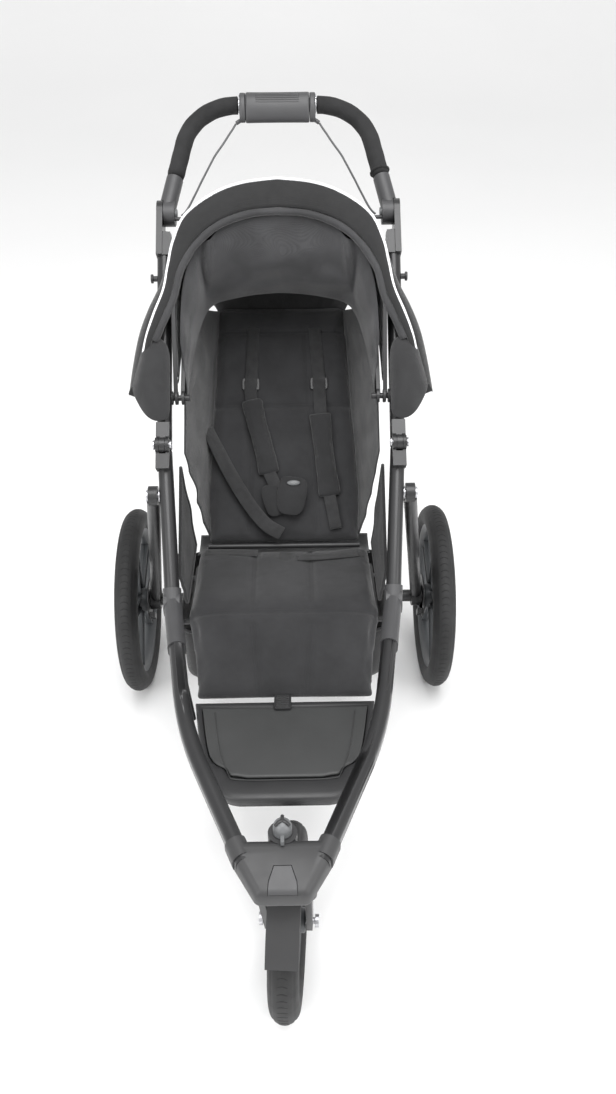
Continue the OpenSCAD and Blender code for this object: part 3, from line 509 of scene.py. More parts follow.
thread = Finish("sewing_thread", (0.03, 0.03, 0.031), 0.75)
thread.mottle(thread.noise(300, 2), 0.2)
THREAD = thread.material
print("finishes", len(bpy.data.materials))

# %% [markdown]
# Repeats are made by Geometry Nodes. One tree turns copies of a shape round an axle, for
# spokes and tyre sipes. The other lays copies of a stitch along a line. Both have named
# inputs, end in real geometry and are turned into plain meshes at once.

# %% Node trees for repeats
def new_tree(name, sockets):
    tree = bpy.data.node_groups.new(name, "GeometryNodeTree")
    tree.interface.new_socket("Geometry", in_out="INPUT", socket_type="NodeSocketGeometry")
    for label, kind, value in sockets:
        made = tree.interface.new_socket(label, in_out="INPUT", socket_type=kind)
        if value is not None:
            made.default_value = value
    tree.interface.new_socket("Geometry", in_out="OUTPUT", socket_type="NodeSocketGeometry")
    return tree, tree.nodes.new("NodeGroupInput"), tree.nodes.new("NodeGroupOutput")


def close_tree(tree, source, last, group_out, group_in):
    real = tree.nodes.new("GeometryNodeRealizeInstances")
    paint = tree.nodes.new("GeometryNodeSetMaterial")
    tree.links.new(source, real.inputs["Geometry"])
    tree.links.new(real.outputs["Geometry"], paint.inputs["Geometry"])
    tree.links.new(group_in.outputs["Finish"], paint.inputs["Material"])
    tree.links.new(paint.outputs["Geometry"], group_out.inputs["Geometry"])


def axle_ring_tree():
    tree, group_in, group_out = new_tree("copies_round_axle", [
        ("Copies", "NodeSocketInt", 5), ("First Angle", "NodeSocketFloat", 0.0),
        ("Shape", "NodeSocketObject", None), ("Finish", "NodeSocketMaterial", None)])
    line = tree.nodes.new("GeometryNodeMeshLine")
    line.inputs["Offset"].default_value = (0, 0, 0)
    tree.links.new(group_in.outputs["Copies"], line.inputs["Count"])
    points = tree.nodes.new("GeometryNodeInstanceOnPoints")
    info = tree.nodes.new("GeometryNodeObjectInfo")
    index = tree.nodes.new("GeometryNodeInputIndex")
    step = tree.nodes.new("ShaderNodeMath")
    step.operation = "DIVIDE"
    step.inputs[0].default_value = math.tau
    angle = tree.nodes.new("ShaderNodeMath")
    angle.operation = "MULTIPLY_ADD"
    spin = tree.nodes.new("ShaderNodeCombineXYZ")
    for a, b in [(line.outputs["Mesh"], points.inputs["Points"]),
                 (group_in.outputs["Shape"], info.inputs["Object"]),
                 (info.outputs["Geometry"], points.inputs["Instance"]),
                 (group_in.outputs["Copies"], step.inputs[1]),
                 (index.outputs["Index"], angle.inputs[0]),
                 (step.outputs["Value"], angle.inputs[1]),
                 (group_in.outputs["First Angle"], angle.inputs[2]),
                 (angle.outputs["Value"], spin.inputs["X"]),
                 (spin.outputs["Vector"], points.inputs["Rotation"])]:
        tree.links.new(a, b)
    close_tree(tree, points.outputs["Instances"], None, group_out, group_in)
    return tree


def stitch_tree():
    tree, group_in, group_out = new_tree("stitches_on_line", [
        ("Pitch", "NodeSocketFloat", 0.005), ("Shape", "NodeSocketObject", None),
        ("Finish", "NodeSocketMaterial", None)])
    curve = tree.nodes.new("GeometryNodeMeshToCurve")
    resample = tree.nodes.new("GeometryNodeResampleCurve")
    resample.mode = "LENGTH"
    points = tree.nodes.new("GeometryNodeInstanceOnPoints")
    info = tree.nodes.new("GeometryNodeObjectInfo")
    tangent = tree.nodes.new("GeometryNodeInputTangent")
    align = tree.nodes.new("FunctionNodeAlignEulerToVector")
    align.axis = "X"
    for a, b in [(group_in.outputs["Geometry"], curve.inputs["Mesh"]),
                 (curve.outputs["Curve"], resample.inputs["Curve"]),
                 (group_in.outputs["Pitch"], resample.inputs["Length"]),
                 (resample.outputs["Curve"], points.inputs["Points"]),
                 (group_in.outputs["Shape"], info.inputs["Object"]),
                 (info.outputs["Geometry"], points.inputs["Instance"]),
                 (tangent.outputs["Tangent"], align.inputs["Vector"]),
                 (align.outputs["Rotation"], points.inputs["Rotation"])]:
        tree.links.new(a, b)
    close_tree(tree, points.outputs["Instances"], None, group_out, group_in)
    return tree


def run_tree(name, tree, base, **values):
    """Run a tree on a base mesh, and keep only the plain mesh that it makes."""
    mod = base.modifiers.new("repeat", "NODES")
    mod.node_group = tree
    for item in tree.interface.items_tree:
        key = item.name.replace(" ", "_").lower()
        if item.item_type == "SOCKET" and item.in_out == "INPUT" and key in values:
            mod[item.identifier] = values[key]
    bpy.context.view_layer.update()
    graph = bpy.context.evaluated_depsgraph_get()
    mesh = bpy.data.meshes.new_from_object(base.evaluated_get(graph))
    base.modifiers.remove(mod)
    bpy.data.objects.remove(base)
    made = bpy.data.objects.new(name, mesh)
    scene.collection.objects.link(made)
    return made


AXLE_RING, STITCHES = axle_ring_tree(), stitch_tree()
print("node trees", AXLE_RING.name, STITCHES.name)

# %% [markdown]
# A stitch is a tiny six sided capsule. It lies along its seam at a steady pitch, half sunk
# in the cloth, and all stitches of one body become one mesh.

# %% Stitches
def line_piece(name, path):
    mesh = bpy.data.meshes.new(name)
    mesh.from_pydata([tuple(p) for p in path], [(i, i + 1) for i in range(len(path) - 1)], [])
    piece = bpy.data.objects.new(name, mesh)
    scene.collection.objects.link(piece)
    return piece


def stitch_shape():
    half, r = 0.0013, 0.00042
    path = [Vector((x, 0, 0)) for x in (-half, -half * 0.7, half * 0.7, half)]
    rings = []
    for p, size in zip(path, (0.35, 1, 1, 0.35)):
        rings.append([p + Vector((0, math.cos(k * math.pi / 3), math.sin(k * math.pi / 3)))
                      * r * size for k in range(6)])
    piece = loft("stitch_shape", rings)
    piece.hide_render = True
    return piece


STITCH = stitch_shape()


def stitch_lines(name, paths, body, pitch=0.0042):
    rows = [run_tree(name + str(i), STITCHES, line_piece("seam", path), pitch=pitch,
                     shape=STITCH, finish=THREAD) for i, path in enumerate(paths)]
    made = join(name, rows)
    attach(made, body)
    print(name, len(made.data.polygons), "faces")
    return made


# %% [markdown]
# Padded pieces start as a closed form a little smaller than the real one. It is remeshed
# into small even faces, puffed up by cloth simulation with pressure and no gravity, and
# each point's travel is capped. Sewn lines are pressed in afterwards, because the remesh
# would wipe them out.

# %% Padding helpers
def puff(piece, voxel=0.006, cap=0.009, pressure=4.0):
    """Swell a closed mesh by cloth simulation, each point by at most cap."""
    mod = piece.modifiers.new("even_faces", "REMESH")
    mod.mode, mod.voxel_size, mod.use_smooth_shade = "VOXEL", voxel, True
    apply_all(piece)
    start = [v.co.copy() for v in piece.data.vertices]
    mod = piece.modifiers.new("swell", "CLOTH")
    mod.settings.use_pressure = True
    mod.settings.uniform_pressure_force = pressure
    mod.settings.tension_stiffness = mod.settings.compression_stiffness = 12
    mod.settings.effector_weights.gravity = 0
    mod.point_cache.frame_start, mod.point_cache.frame_end = 1, 20
    for number in range(1, 21):
        scene.frame_set(number)
    apply_all(piece)
    scene.frame_set(1)
    for vertex, first in zip(piece.data.vertices, start):
        move = vertex.co - first
        if move.length > cap:
            vertex.co = first + move.normalized() * cap
    return piece


def press_seams(piece, seams, out, depth=0.004, width=0.006, reach=0.03):
    """Press sewn lines into a pad. out is the direction that the padded face looks in."""
    lines = [(a, b) for path in seams for a, b in zip(path, path[1:])]
    for vertex in piece.data.vertices:
        if vertex.normal.dot(out) < 0.15:
            continue
        near = reach
        for a, b in lines:
            t = max(0, min(1, (vertex.co - a).dot(b - a) / max((b - a).length_squared, 1e-9)))
            gap = vertex.co - a.lerp(b, t)
            near = min(near, (gap - out * gap.dot(out)).length)
        if near < reach:
            drop = depth * math.exp(-(near / width) ** 2) + 0.3 * depth * (1 - near / reach)
            vertex.co -= out * drop
    piece.data.update()
    return piece


def on_surface(piece, path, out, lift=0.0002):
    """Lay a line of points on a pad, looking from outside."""
    graph = bpy.context.evaluated_depsgraph_get()
    shape = piece.evaluated_get(graph)
    made = []
    for p in path:
        hit, place_at, normal, _ = shape.ray_cast(p + out * 0.08, -out)
        if hit:
            made.append(place_at + normal * lift)
    return made


def dense(a, b, step=0.008):
    count = max(2, round((b - a).length / step))
    return [a.lerp(b, i / count) for i in range(count + 1)]


print("padding helpers ready, quick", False)

# %% [markdown]
# The frame tubes keep their CAD shape. The copies get smooth shading and fine edges, so
# that the satin paint shows one long highlight down each tube.

# %% Tubes, elbows and hinges
for node in ("lower_tube_left", "lower_tube_right", "mid_tubes"):
    place(from_cad(node, edge=0), PAINT, "frame", node, slot="tube_black")
for node in ("upper_tube_left", "upper_tube_right"):
    place(from_cad(node), PAINT, "handle_frame", node, slot="tube_black")
place(from_cad("elbows", edge=0.0012), GRIP, "frame", "elbows", slot="nose_plastic")
place(from_cad("fold_hinges"), PAINT_DARK, "frame", "fold_hinges", slot="tube_black")
place(from_cad("hinge_pins", edge=0.0005), STEEL, "frame", "hinge_pins", slot="steel")
place(from_cad("side_hangers", edge=0), PAINT_DARK, "frame", "side_hangers", slot="tube_black")
place(from_cad("seat_board"), PLASTIC, "frame", "seat_board", slot="black_plastic")
place(from_cad("canopy_pivots", edge=0.0005), PLASTIC, "handle_frame", "canopy_pivots",
      slot="black_plastic")
place(from_cad("back_hinge", edge=0), PLASTIC, "seat_back", "back_hinge", slot="black_plastic")
place(from_cad("swivel_bushes", edge=0), STEEL, "frame", "swivel_bushes", slot="steel")

# %% [markdown]
# The nose is one smooth casting. Its CAD shape is copied with a wide bevel. The blank
# inset on top is a separate plate, with a fine gap round it.

# %% Nose
place(from_cad("nose_yoke", edge=0.0016), NOSE, "frame", "nose_yoke", slot="nose_plastic")
place(from_cad("nose_inset", edge=0.0008), GRIP, "frame", "nose_inset", slot="nose_plastic")
nose_lo, nose_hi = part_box("nose_yoke")
print("nose", [round(v, 3) for v in (*nose_lo, *nose_hi)])

# %% [markdown]
# The fork, its fender and the lock knob turn about the swivel. The knob is a light dome
# with a dark three-armed lever on top.

# %% Fork and swivel knob
place(from_cad("fork", edge=0.0015), PAINT_DARK, "fork", "fork", slot="tube_black")
place(from_cad("fork_fender", edge=0.0015), FENDER, "fork", "fork_fender", slot="nose_plastic")
place(from_cad("front_axle", edge=0.0006), STEEL, "fork", "front_axle", slot="steel")
place(from_cad("swivel_lock", edge=0.0008), LIGHT, "swivel_lock", "swivel_lock",
      slot="grey_plastic")
lock_lo, lock_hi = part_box("swivel_lock")
lock = Vector(((lock_lo.x + lock_hi.x) / 2, lock_hi.y - 0.013, lock_hi.z))
arms = []
for number in range(3):
    angle = math.radians(90 + 120 * number)
    reach = Vector((math.cos(angle), math.sin(angle), 0))
    path = [lock + Vector((0, 0, 0.0008)), lock + reach * 0.006 + Vector((0, 0, 0.0004)),
            lock + reach * 0.0115 + Vector((0, 0, -0.0035))]
    arms.append(sweep("arm", smooth_line(path, 4), 0.005, 0.003, Vector((-reach.y, reach.x, 0)),
                      12))
place(join("swivel_spokes", arms), PLASTIC, "swivel_lock")
print("knob at", [round(v, 3) for v in lock])

# %% [markdown]
# The legs, axle tube, brake plates and pedal are plain painted or moulded parts.

# %% Rear legs and brakes
place(from_cad("rear_legs", edge=0.0006), PAINT_DARK, "rear_legs", "rear_legs",
      slot="tube_black")
place(from_cad("rear_axle", edge=0.0008), PAINT_DARK, "rear_legs", "rear_axle",
      slot="tube_black")
place(from_cad("brake_plates", edge=0.0008), PLASTIC, "rear_legs", "brake_plates",
      slot="black_plastic")
place(from_cad("brake_pedal", edge=0.0015), PLASTIC, "brake_pedal", "brake_pedal",
      slot="black_plastic")

# %% [markdown]
# Each wheel is a turned tyre with thin curved sipes, a turned rim, and wide spokes with a
# raised rib on each edge. Spokes and sipes are one shape each, copied round the axle by
# the node tree.

# %% Wheels
def spoke_shape(hub, rim, half_hub, half_rim, depth):
    outline = [(hub, half_hub), (hub * 0.45 + rim * 0.55, half_rim * 0.92), (rim, half_rim)]
    parts = []
    for side in (-1, 1):
        path = smooth_line([Vector((0, side * (w - 0.0025), r)) for r, w in outline], 5)
        parts.append(sweep("rib", path, depth, 0.005, Vector((1, 0, 0)), 16, square=True))
    rings = []
    for r, w in [(hub, half_hub * 0.96), *outline[1:]]:
        rings.append([Vector((x, y, r)) for x, y in
                      ((-0.002, -w), (0.002, -w), (0.002, w), (-0.002, w))])
    parts.append(loft("web", rings))
    piece = join("spoke_shape", parts)
    piece.hide_render = True
    return piece


def sipe_shape(radius):
    rings = []
    for k in range(7):
        x = -0.008 + 0.016 * k / 6
        lean = 0.0035 * math.sin(k / 6 * math.pi)
        r = radius - 0.0235 + math.sqrt(0.0235 ** 2 - x * x) + 0.0002
        rings.append([Vector((x, lean + dy, r + dz)) for dy, dz in
                      ((-0.0007, -0.001), (0.0007, -0.001), (0.0007, 0.0001), (-0.0007, 0.0001))])
    piece = loft("sipe_shape", rings)
    piece.hide_render = True
    return piece


def tyre_profile(radius):
    """A round section with two shallow rings near its crown, and its beads at the rim."""
    r, made = 0.0235, []
    for k in range(61):
        a = math.radians(-140 + 280 * k / 60)
        dent = 0.0006 if abs(abs(math.degrees(a)) - 44) < 3 else 0.0
        made.append(((r - dent) * math.sin(a), radius - r + (r - dent) * math.cos(a)))
    return made


def wheel(side, node, radius, centre, body, hub_radius, hub_half, copies):
    tyre = place(lathe(node + "_rubber", tyre_profile(radius), centre, steps=120), TYRE, body,
                 node.replace("wheel", "tyre"), slot="tyre")
    sipes = run_tree(node + "_sipes", AXLE_RING, line_piece("hub", [Vector()]), copies=copies,
                     shape=sipe_shape(radius), finish=FOAM)
    sipes.data.transform(Matrix.Translation(centre))
    bead, inner = radius - 0.041, radius - 0.054
    rim = lathe(node + "_rim_ring", [
        (-0.014, bead + 0.003), (-0.0155, bead - 0.001), (-0.014, bead - 0.005),
        (-0.009, inner + 0.001), (-0.003, inner - 0.001), (0.003, inner - 0.001),
        (0.009, inner + 0.001), (0.014, bead - 0.005), (0.0155, bead - 0.001),
        (0.014, bead + 0.003)], centre, steps=120)
    spokes = run_tree(node + "_spokes", AXLE_RING, line_piece("hub", [Vector()]), copies=5,
                      first_angle=math.radians(0), finish=RIM,
                      shape=spoke_shape(hub_radius - 0.003, inner + 0.002,
                                        hub_radius * 0.62, 0.0155, 0.017))
    spokes.data.transform(Matrix.Translation(centre))
    boss = [(-hub_half, 0.0135), (-hub_half, hub_radius - 0.002),
            (-hub_half + 0.002, hub_radius), (hub_half - 0.002, hub_radius),
            (hub_half, hub_radius - 0.002), (hub_half, 0.0135)]
    if node == "front_wheel":
        boss[0], boss[-1] = (-hub_half, 0.0055), (hub_half, 0.0055)
    hub = lathe(node + "_hub_ring", boss, centre, steps=64)
    for piece in (rim, hub):
        piece.data.materials.append(RIM)
    rim = join(node + "_rim_made", [rim, spokes, hub])
    for piece in (tyre, sipes, rim):
        if node == "front_wheel":
            swing = Matrix.Translation(centre) @ Matrix.Rotation(math.radians(-4), 4, "Z")
            piece.data.transform(swing @ Matrix.Translation(-centre))
    place(rim, None, body, node.replace("wheel", "rim"), slot="rim_plastic")
    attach(sipes, body)
    print(node, "faces", len(tyre.data.polygons) + len(rim.data.polygons))


for side, label in ((-1, "left"), (1, "right")):
    lo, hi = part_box("rear_tyre_" + label)
    middle = (lo + hi) / 2
    wheel(side, "rear_wheel_" + label, 0.198, middle, "rear_wheel_" + label, 0.026, 0.020, 90)
lo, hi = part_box("front_tyre")
wheel(0, "front_wheel", 0.149, (lo + hi) / 2, "front_wheel", 0.019, 0.026, 68)
for label in ("left", "right"):
    node = "rear_hub_" + label
    place(from_cad(node, edge=0.0005), GREY, "rear_wheel_" + label, node, slot="steel")

# %% [markdown]
# The handlebar is one bent tube. Foam sleeves run from the knuckles up and round to the
# grip block. Their middle line is the same as the tube's, so both are swept along it.

# %% Handlebar
def bar_line(first, last=None):
    """Middle line of the right arm from so far up it, round the bend to the top."""
    lean, top_x, bend_r, reach = 0.2125, 0.157, 0.100, 0.224
    turn = math.pi / 2 + math.atan(lean)
    cut = bend_r * math.tan((math.pi - turn) / 2)
    start = (top_x - cut * math.cos(turn), reach - cut * math.sin(turn))
    centre = (start[0] - bend_r * math.sin(turn), start[1] + bend_r * math.cos(turn))
    path = []
    for k in range(8):
        along = first + (start[1] - first) * k / 8
        path.append(on_bar(top_x + lean * (reach - along), along))
    for k in range(15):
        t = turn + (math.pi - turn) * k / 14
        path.append(on_bar(centre[0] + bend_r * math.sin(t), centre[1] - bend_r * math.cos(t)))
    if last is not None:
        path += [on_bar(path[-1].x + (last - path[-1].x) * k / 4, reach) for k in range(1, 5)]
    return path


def mirrored(path):
    return [Vector((-p.x, p.y, p.z)) for p in path]


BAR_OUT = Vector((0, -math.sin(BAR_SLOPE), math.cos(BAR_SLOPE)))
whole = bar_line(0.026)
bar = sweep("handlebar_bend", whole + mirrored(whole)[::-1], 0.025, side=BAR_OUT, sides=28)
place(bar, PAINT, "handlebar", "handlebar_tube", slot="tube_black")

sleeves = []
for flip in (False, True):
    path = bar_line(0.074, 0.074)
    size = len(path)
    rings = []
    for i, p in enumerate(path):
        along = (path[min(i + 1, size - 1)] - path[max(i - 1, 0)]).normalized()
        b = along.cross(BAR_OUT)
        r = 0.0158 - (0.0012 if i in (0, size - 1) else 0)
        r += 0.00025 * math.sin(i * 1.7)
        rings.append([p + (BAR_OUT * math.cos(k * math.tau / 28)
                           + b * math.sin(k * math.tau / 28)) * r for k in range(28)])
    if flip:
        rings = [mirrored(ring) for ring in rings]
    sleeves.append(loft("sleeve", rings))
place(join("foam_sleeves", sleeves), FOAM, "handlebar", "foam_grips", slot="foam")
fold_path = bar_line(0.074, 0.074)
roll_at, roll_dir = fold_path[1], (fold_path[2] - fold_path[0]).normalized()
roll_side = roll_dir.cross(BAR_OUT)
roll = [roll_at + (BAR_OUT * math.cos(k * math.tau / 40) + roll_side * math.sin(k * math.tau / 40))
        * 0.0162 for k in range(41)]
place(sweep("foam_rolled_end", roll, 0.005, side=roll_dir, sides=10), FOAM, "handlebar")
print("handlebar bends", len(whole), "points an arm")

# %% [markdown]
# The knuckle shells join the bar to the frame tubes. Each has a light push button in its
# inner face.

# %% Knuckles and buttons
place(from_cad("knuckles", edge=0.0012), GRIP, "handlebar", "knuckles", slot="nose_plastic")
for label in ("left", "right"):
    node = "tilt_button_" + label
    place(from_cad(node, edge=0.0012), LIGHT, node, node, slot="grey_plastic")

# %% [markdown]
# The twist grip is a soft-cornered block with an oval panel of raised ribs. It is built
# as rounded sections along the bar, slightly waisted, and the ribs lie in the panel.

# %% Twist grip
def grip_outline(x, grow=0.0):
    points = []
    for k in range(48):
        a = k * math.tau / 48
        c, s = math.cos(a), math.sin(a)
        r = 0.0226 + grow if s > 0 else 0.0226 + grow
        along = 0.224 + r * s if s > 0 else 0.224 + (r + 0.0135) * s
        out = r * c if s > 0 else r * c * (1 - 0.34 * s * s)
        points.append(on_bar(x, along, out))
    return points


stations = [(-0.0592, -0.0022), (-0.0588, -0.0006), (-0.056, 0), (-0.03, -0.0003),
            (0, -0.0004), (0.03, -0.0003), (0.056, 0), (0.0588, -0.0006), (0.0592, -0.0022)]
grip = loft("twist_grip_shell", [grip_outline(x, g) for x, g in stations])
place(grip, GRIP, "brake_twist", "twist_grip", slot="black_plastic")
ribs = []
for k in range(-2, 3):
    a = math.radians(32 + k * 11)
    path = [on_bar(x, 0.224 - 0.0222 * math.cos(a) * 0 + 0.0222 * math.sin(a - 0.55),
                   0.0222 * math.cos(a - 0.55)) for x in
            (-0.040, -0.038, -0.02, 0, 0.02, 0.038, 0.040)]
    ribs.append(sweep("rib", path, 0.0024, side=BAR_OUT, sides=10))
place(join("twist_grip_ribs", ribs), GRIP, "brake_twist")
collars = [loft("collar", [grip_outline(s * x, g) for x, g in
           ((0.0600, -0.0030), (0.0603, -0.0012), (0.0625, -0.0008), (0.0688, -0.0008),
            (0.0702, -0.0016), (0.0706, -0.0034))]) for s in (-1, 1)]
nubs = []
for s in (-1, 1):
    path = [on_bar(s * x, along, out) for x, along, out in
            ((0.064, 0.196, -0.002), (0.071, 0.193, -0.003), (0.077, 0.189, -0.0038))]
    nubs.append(sweep("nub", smooth_line(path, 4), 0.0085, 0.007, BAR_OUT, 14))
place(join("grip_collars", collars + nubs), GRIP, "handlebar", "grip_core",
      slot="black_plastic")
trim = []
for s in (-1, 1):
    path = [on_bar(s * 0.0712, 0.224 + 0.0182 * math.sin(a), 0.0182 * math.cos(a))
            for a in [k * math.tau / 40 for k in range(41)]]
    trim.append(sweep("trim", path, 0.0022, side=Vector((1, 0, 0)), sides=8))
strip = [on_bar(x, 0.224 + 0.0222 * math.sin(1.18), 0.0226 * math.cos(1.18))
         for x in (-0.056, -0.03, 0, 0.03, 0.056)]
place(join("bright_rings", trim), BRIGHT, "handlebar", "grip_trim", slot="bright_trim")
place(sweep("bright_strip", strip, 0.0016, side=BAR_OUT, sides=8), BRIGHT, "brake_twist")
print("grip block faces", len(grip.data.polygons))

# %% [markdown]
# Two brake cables leave the grip block, bow outwards under their own stiffness and enter
# the knuckles. Each is a round curve through the points that its CAD solid follows.

# %% Brake cables
CABLE = [(78, 188, -4), (84, 179, -7), (91, 169, -9), (98, 158, -11), (105, 147, -12),
         (112, 136, -12), (119, 124, -12), (125, 111, -12), (131, 97, -11), (137, 82, -9),
         (143, 66, -6), (149, 49, -3), (155, 33, 0), (160, 20, 2), (165, 9, 3), (170, 1, 3),
         (176, -5, 3)]
for s, label in ((-1, "left"), (1, "right")):
    route = [on_bar(s * x / 1000, along / 1000, out / 1000) for x, along, out in CABLE]
    path = smooth_line(route, 3)
    piece = sweep("brake_cable_" + label + "_sheath", path, 0.0038, side=BAR_OUT, sides=12)
    place(piece, GREY, "handlebar", "brake_cable_" + label, slot="cable")

# %% [markdown]
# The canopy cloth is stretched over two bows. Seen from the side it is a fan round the
# pivots. Two sheets meet in a seam at the middle bow. Between the bows the cloth sags a
# little, and small wrinkles run from the corners.

# %% Canopy helpers
def fan(x, radius, degrees, lift=0.0):
    """A point of the canopy: so far to the side, so far from the pivots, at an angle."""
    a = math.radians(degrees)
    return PIVOT + Vector((x, radius * math.cos(a) - lift * math.sin(a),
                           radius * math.sin(a) + lift * math.cos(a)))


def through(points, t):
    """The value at share t along a smooth line through the points."""
    line = smooth_line([Vector(p).to_3d() for p in points], 12)
    spot = t * (len(line) - 1)
    i = min(int(spot), len(line) - 2)
    return line[i].lerp(line[i + 1], spot - i)


ARCH = [(0.187, 0.045), (0.187, 0.12), (0.1865, 0.19), (0.181, 0.25), (0.166, 0.300),
        (0.132, 0.338), (0.082, 0.3575), (0.035, 0.3645), (0, 0.3655)]


def arch_point(u):
    """(x, radius) of the bow's line, u from -1 on the left over 0 at the top to 1."""
    p = through(ARCH, 1 - abs(u))
    return math.copysign(p.x, u), p.y


def shell(name, first, last, inward, columns=72, rows=22):
    points = []
    for r in range(rows):
        t = r / (rows - 1)
        angle = first + (last - first) * t
        for c in range(columns):
            u = -1 + 2 * c / (columns - 1)
            x, radius = arch_point(u)
            top = max(0.0, 1 - abs(u)) ** 0.5
            sag = 0.013 * math.sin(math.pi * t) * top
            wrinkle = noise.noise(Vector((u * 5, t * 3.2, first))) * 0.0035
            wrinkle += 0.002 * math.sin(u * 34 + t * 3) * (1 - t) * t * 4
            radius -= inward + sag + wrinkle * math.sin(math.pi * t)
            points.append(fan(x * (1 - inward / 0.2 - 0.015 * math.sin(math.pi * t)),
                              radius, angle))
    return new_piece(name, points, grid_faces(rows, columns))


# %% [markdown]
# The sheets are thickened inwards, and their inner side takes the lighter lining cloth.

# %% Canopy sheets
front_sheet = shell("canopy_cloth_front", 39, 64, 0.0022)
rear_sheet = shell("canopy_cloth_rear", 12.5, 39, 0.0022)
for piece, bodies, nodes in ((front_sheet, ("canopy_mid", "canopy_front"),
                              ("canopy_front", "canopy_middle")),
                             (rear_sheet, ("handle_frame", "canopy_mid"), ("canopy_rear",))):
    piece.data.flip_normals()
    if sum(p.normal.dot(p.center - PIVOT) for p in piece.data.polygons) < 0:
        piece.data.flip_normals()
    piece.data.materials.append(CANOPY_OUT)
    piece.data.materials.append(LINING)
    thicken(piece, 0.0016, -1, 1)
    apply_all(piece)
    first, last = (39, 64) if piece is front_sheet else (12.5, 39)
    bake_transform(piece)
    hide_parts(*nodes)
for node, body in (("mid_bow", "canopy_mid"), ("front_bow", "canopy_front")):
    place(from_cad(node, edge=0.0008), PLASTIC, body, node, slot="tube_black")

# %% [markdown]
# The visor is a dark band on the front bow. Silver piping is sewn along its edge. Low
# down the edge flares out over the frame tubes to a corner outside them.

# %% Visor band and piping
EDGE = [(0.2485, 0.010), (0.2405, 0.060), (0.231, 0.105), (0.2165, 0.145), (0.199, 0.185),
        (0.1895, 0.228), (0.180, 0.266), (0.158, 0.309), (0.110, 0.343), (0.060, 0.3605),
        (0, 0.3675)]
BAND = [(0.2425, 0.012), (0.2335, 0.060), (0.222, 0.100), (0.205, 0.138), (0.187, 0.176),
        (0.176, 0.216), (0.160, 0.246), (0.134, 0.277), (0.096, 0.302), (0.050, 0.3165),
        (0, 0.321)]
EAR = [(0.268, 0.006), (0.2585, 0.060), (0.246, 0.112), (0.2285, 0.155), (0.208, 0.194),
       (0.1945, 0.230), (0.184, 0.266)]


def edge_point(line, u, degrees=64.0, lift=0.0):
    p = through(line, 1 - abs(u))
    return fan(math.copysign(p.x, u), p.y, degrees, lift)


def band_sheet(name, outer, inner, lift_out, lift_in, columns=120, rows=9, bulge=0.004):
    points = []
    for r in range(rows):
        t = r / (rows - 1)
        for c in range(columns):
            u = -1 + 2 * c / (columns - 1)
            a, b = edge_point(outer, u, lift=lift_out), edge_point(inner, u, lift=lift_in)
            rise = bulge * math.sin(math.pi * t) + 0.0012 * noise.noise(Vector((u * 14, t, 2)))
            points.append(a.lerp(b, t) + (fan(0, 0, 64, rise) - PIVOT))
    return new_piece(name, points, grid_faces(rows, columns))


visor = band_sheet("visor_band", EDGE, BAND, 0.010, 0.011)
visor.data.materials.append(CANOPY_OUT)
thicken(visor, 0.0022)
apply_all(visor)
place(outward(visor), CANOPY_OUT, "canopy_front", slot="canopy_cloth")
line = [edge_point(EDGE, -1 + 2 * k / 120, lift=0.0128) for k in range(121)]
piped = sweep("silver_piping", line, 0.0046, side=fan(0, 0, 64, 1) - PIVOT, sides=12)
place(piped, PIPING, "canopy_front")
end_tabs = []
for s in (-1, 1):
    tip = edge_point(EDGE, s * 0.999, lift=0.008)
    path = [tip + Vector((s * x, y, z)) for x, y, z in
            ((0.014, 0.004, 0.002), (0.004, 0.001, -0.001), (-0.006, 0, -0.002))]
    end_tabs.append(sweep("tab", smooth_line(path, 5), 0.016, 0.012, sides=16))
place(join("canopy_corner_tabs", end_tabs), CANOPY_OUT, "canopy_front")
roll_line = []
for k in range(97):
    u = -0.80 + 1.6 * k / 96
    p = edge_point(BAND, u, lift=0.006)
    roll_line.append(p + (PIVOT - p).normalized() * 0.006)
roll = sweep("visor_roll", roll_line, 0.017, 0.0135, fan(0, 0, 64, 1) - PIVOT, 20)
for vertex in roll.data.vertices:
    vertex.co += vertex.normal * 0.0014 * noise.noise(vertex.co * 38)
place(roll, LINING, "canopy_front", slot="canopy_cloth")
ears = []
for s in (-1, 1):
    points = []
    for r in range(7):
        for c in range(30):
            t = c / 29
            low, high = through(EDGE, t * 0.62), through(EAR, t)
            p = low.lerp(high, r / 6)
            points.append(fan(s * p.x, p.y, 64, 0.008 - 0.016 * (r / 6) ** 2))
    ears.append(new_piece("ear", points, grid_faces(7, 30)))
ear = join("canopy_outer_edges", ears)
thicken(ear, 0.0016)
apply_all(ear)
place(outward(ear), CANOPY_OUT, "canopy_front", slot="canopy_cloth")
print("piping", round(sum((b - a).length for a, b in zip(line, line[1:])), 3), "m")

# %% [markdown]
# Inside, the half-closed canopy lets its lining hang in one big billow from the roll, with
# a gathered fold at each corner, and it turns back up towards the seat.

# %% Lining
TOP = [(0.1745, 0.098), (0.172, 0.150), (0.166, 0.200), (0.150, 0.246), (0.122, 0.276),
       (0.078, 0.299), (0.036, 0.309), (0, 0.3115)]
LOW = [(0.171, 0.045, -0.030), (0.167, 0.080, 0.000), (0.158, 0.120, 0.040),
       (0.142, 0.165, 0.083), (0.122, 0.190, 0.101), (0.082, 0.198, 0.110),
       (0.040, 0.203, 0.115), (0, 0.205, 0.117)]
TURN = [(0.172, 0.080, -0.020), (0.169, 0.130, 0.010), (0.162, 0.190, 0.050),
        (0.148, 0.255, 0.090), (0.126, 0.285, 0.108), (0.085, 0.300, 0.118),
        (0.042, 0.305, 0.122), (0, 0.306, 0.124)]


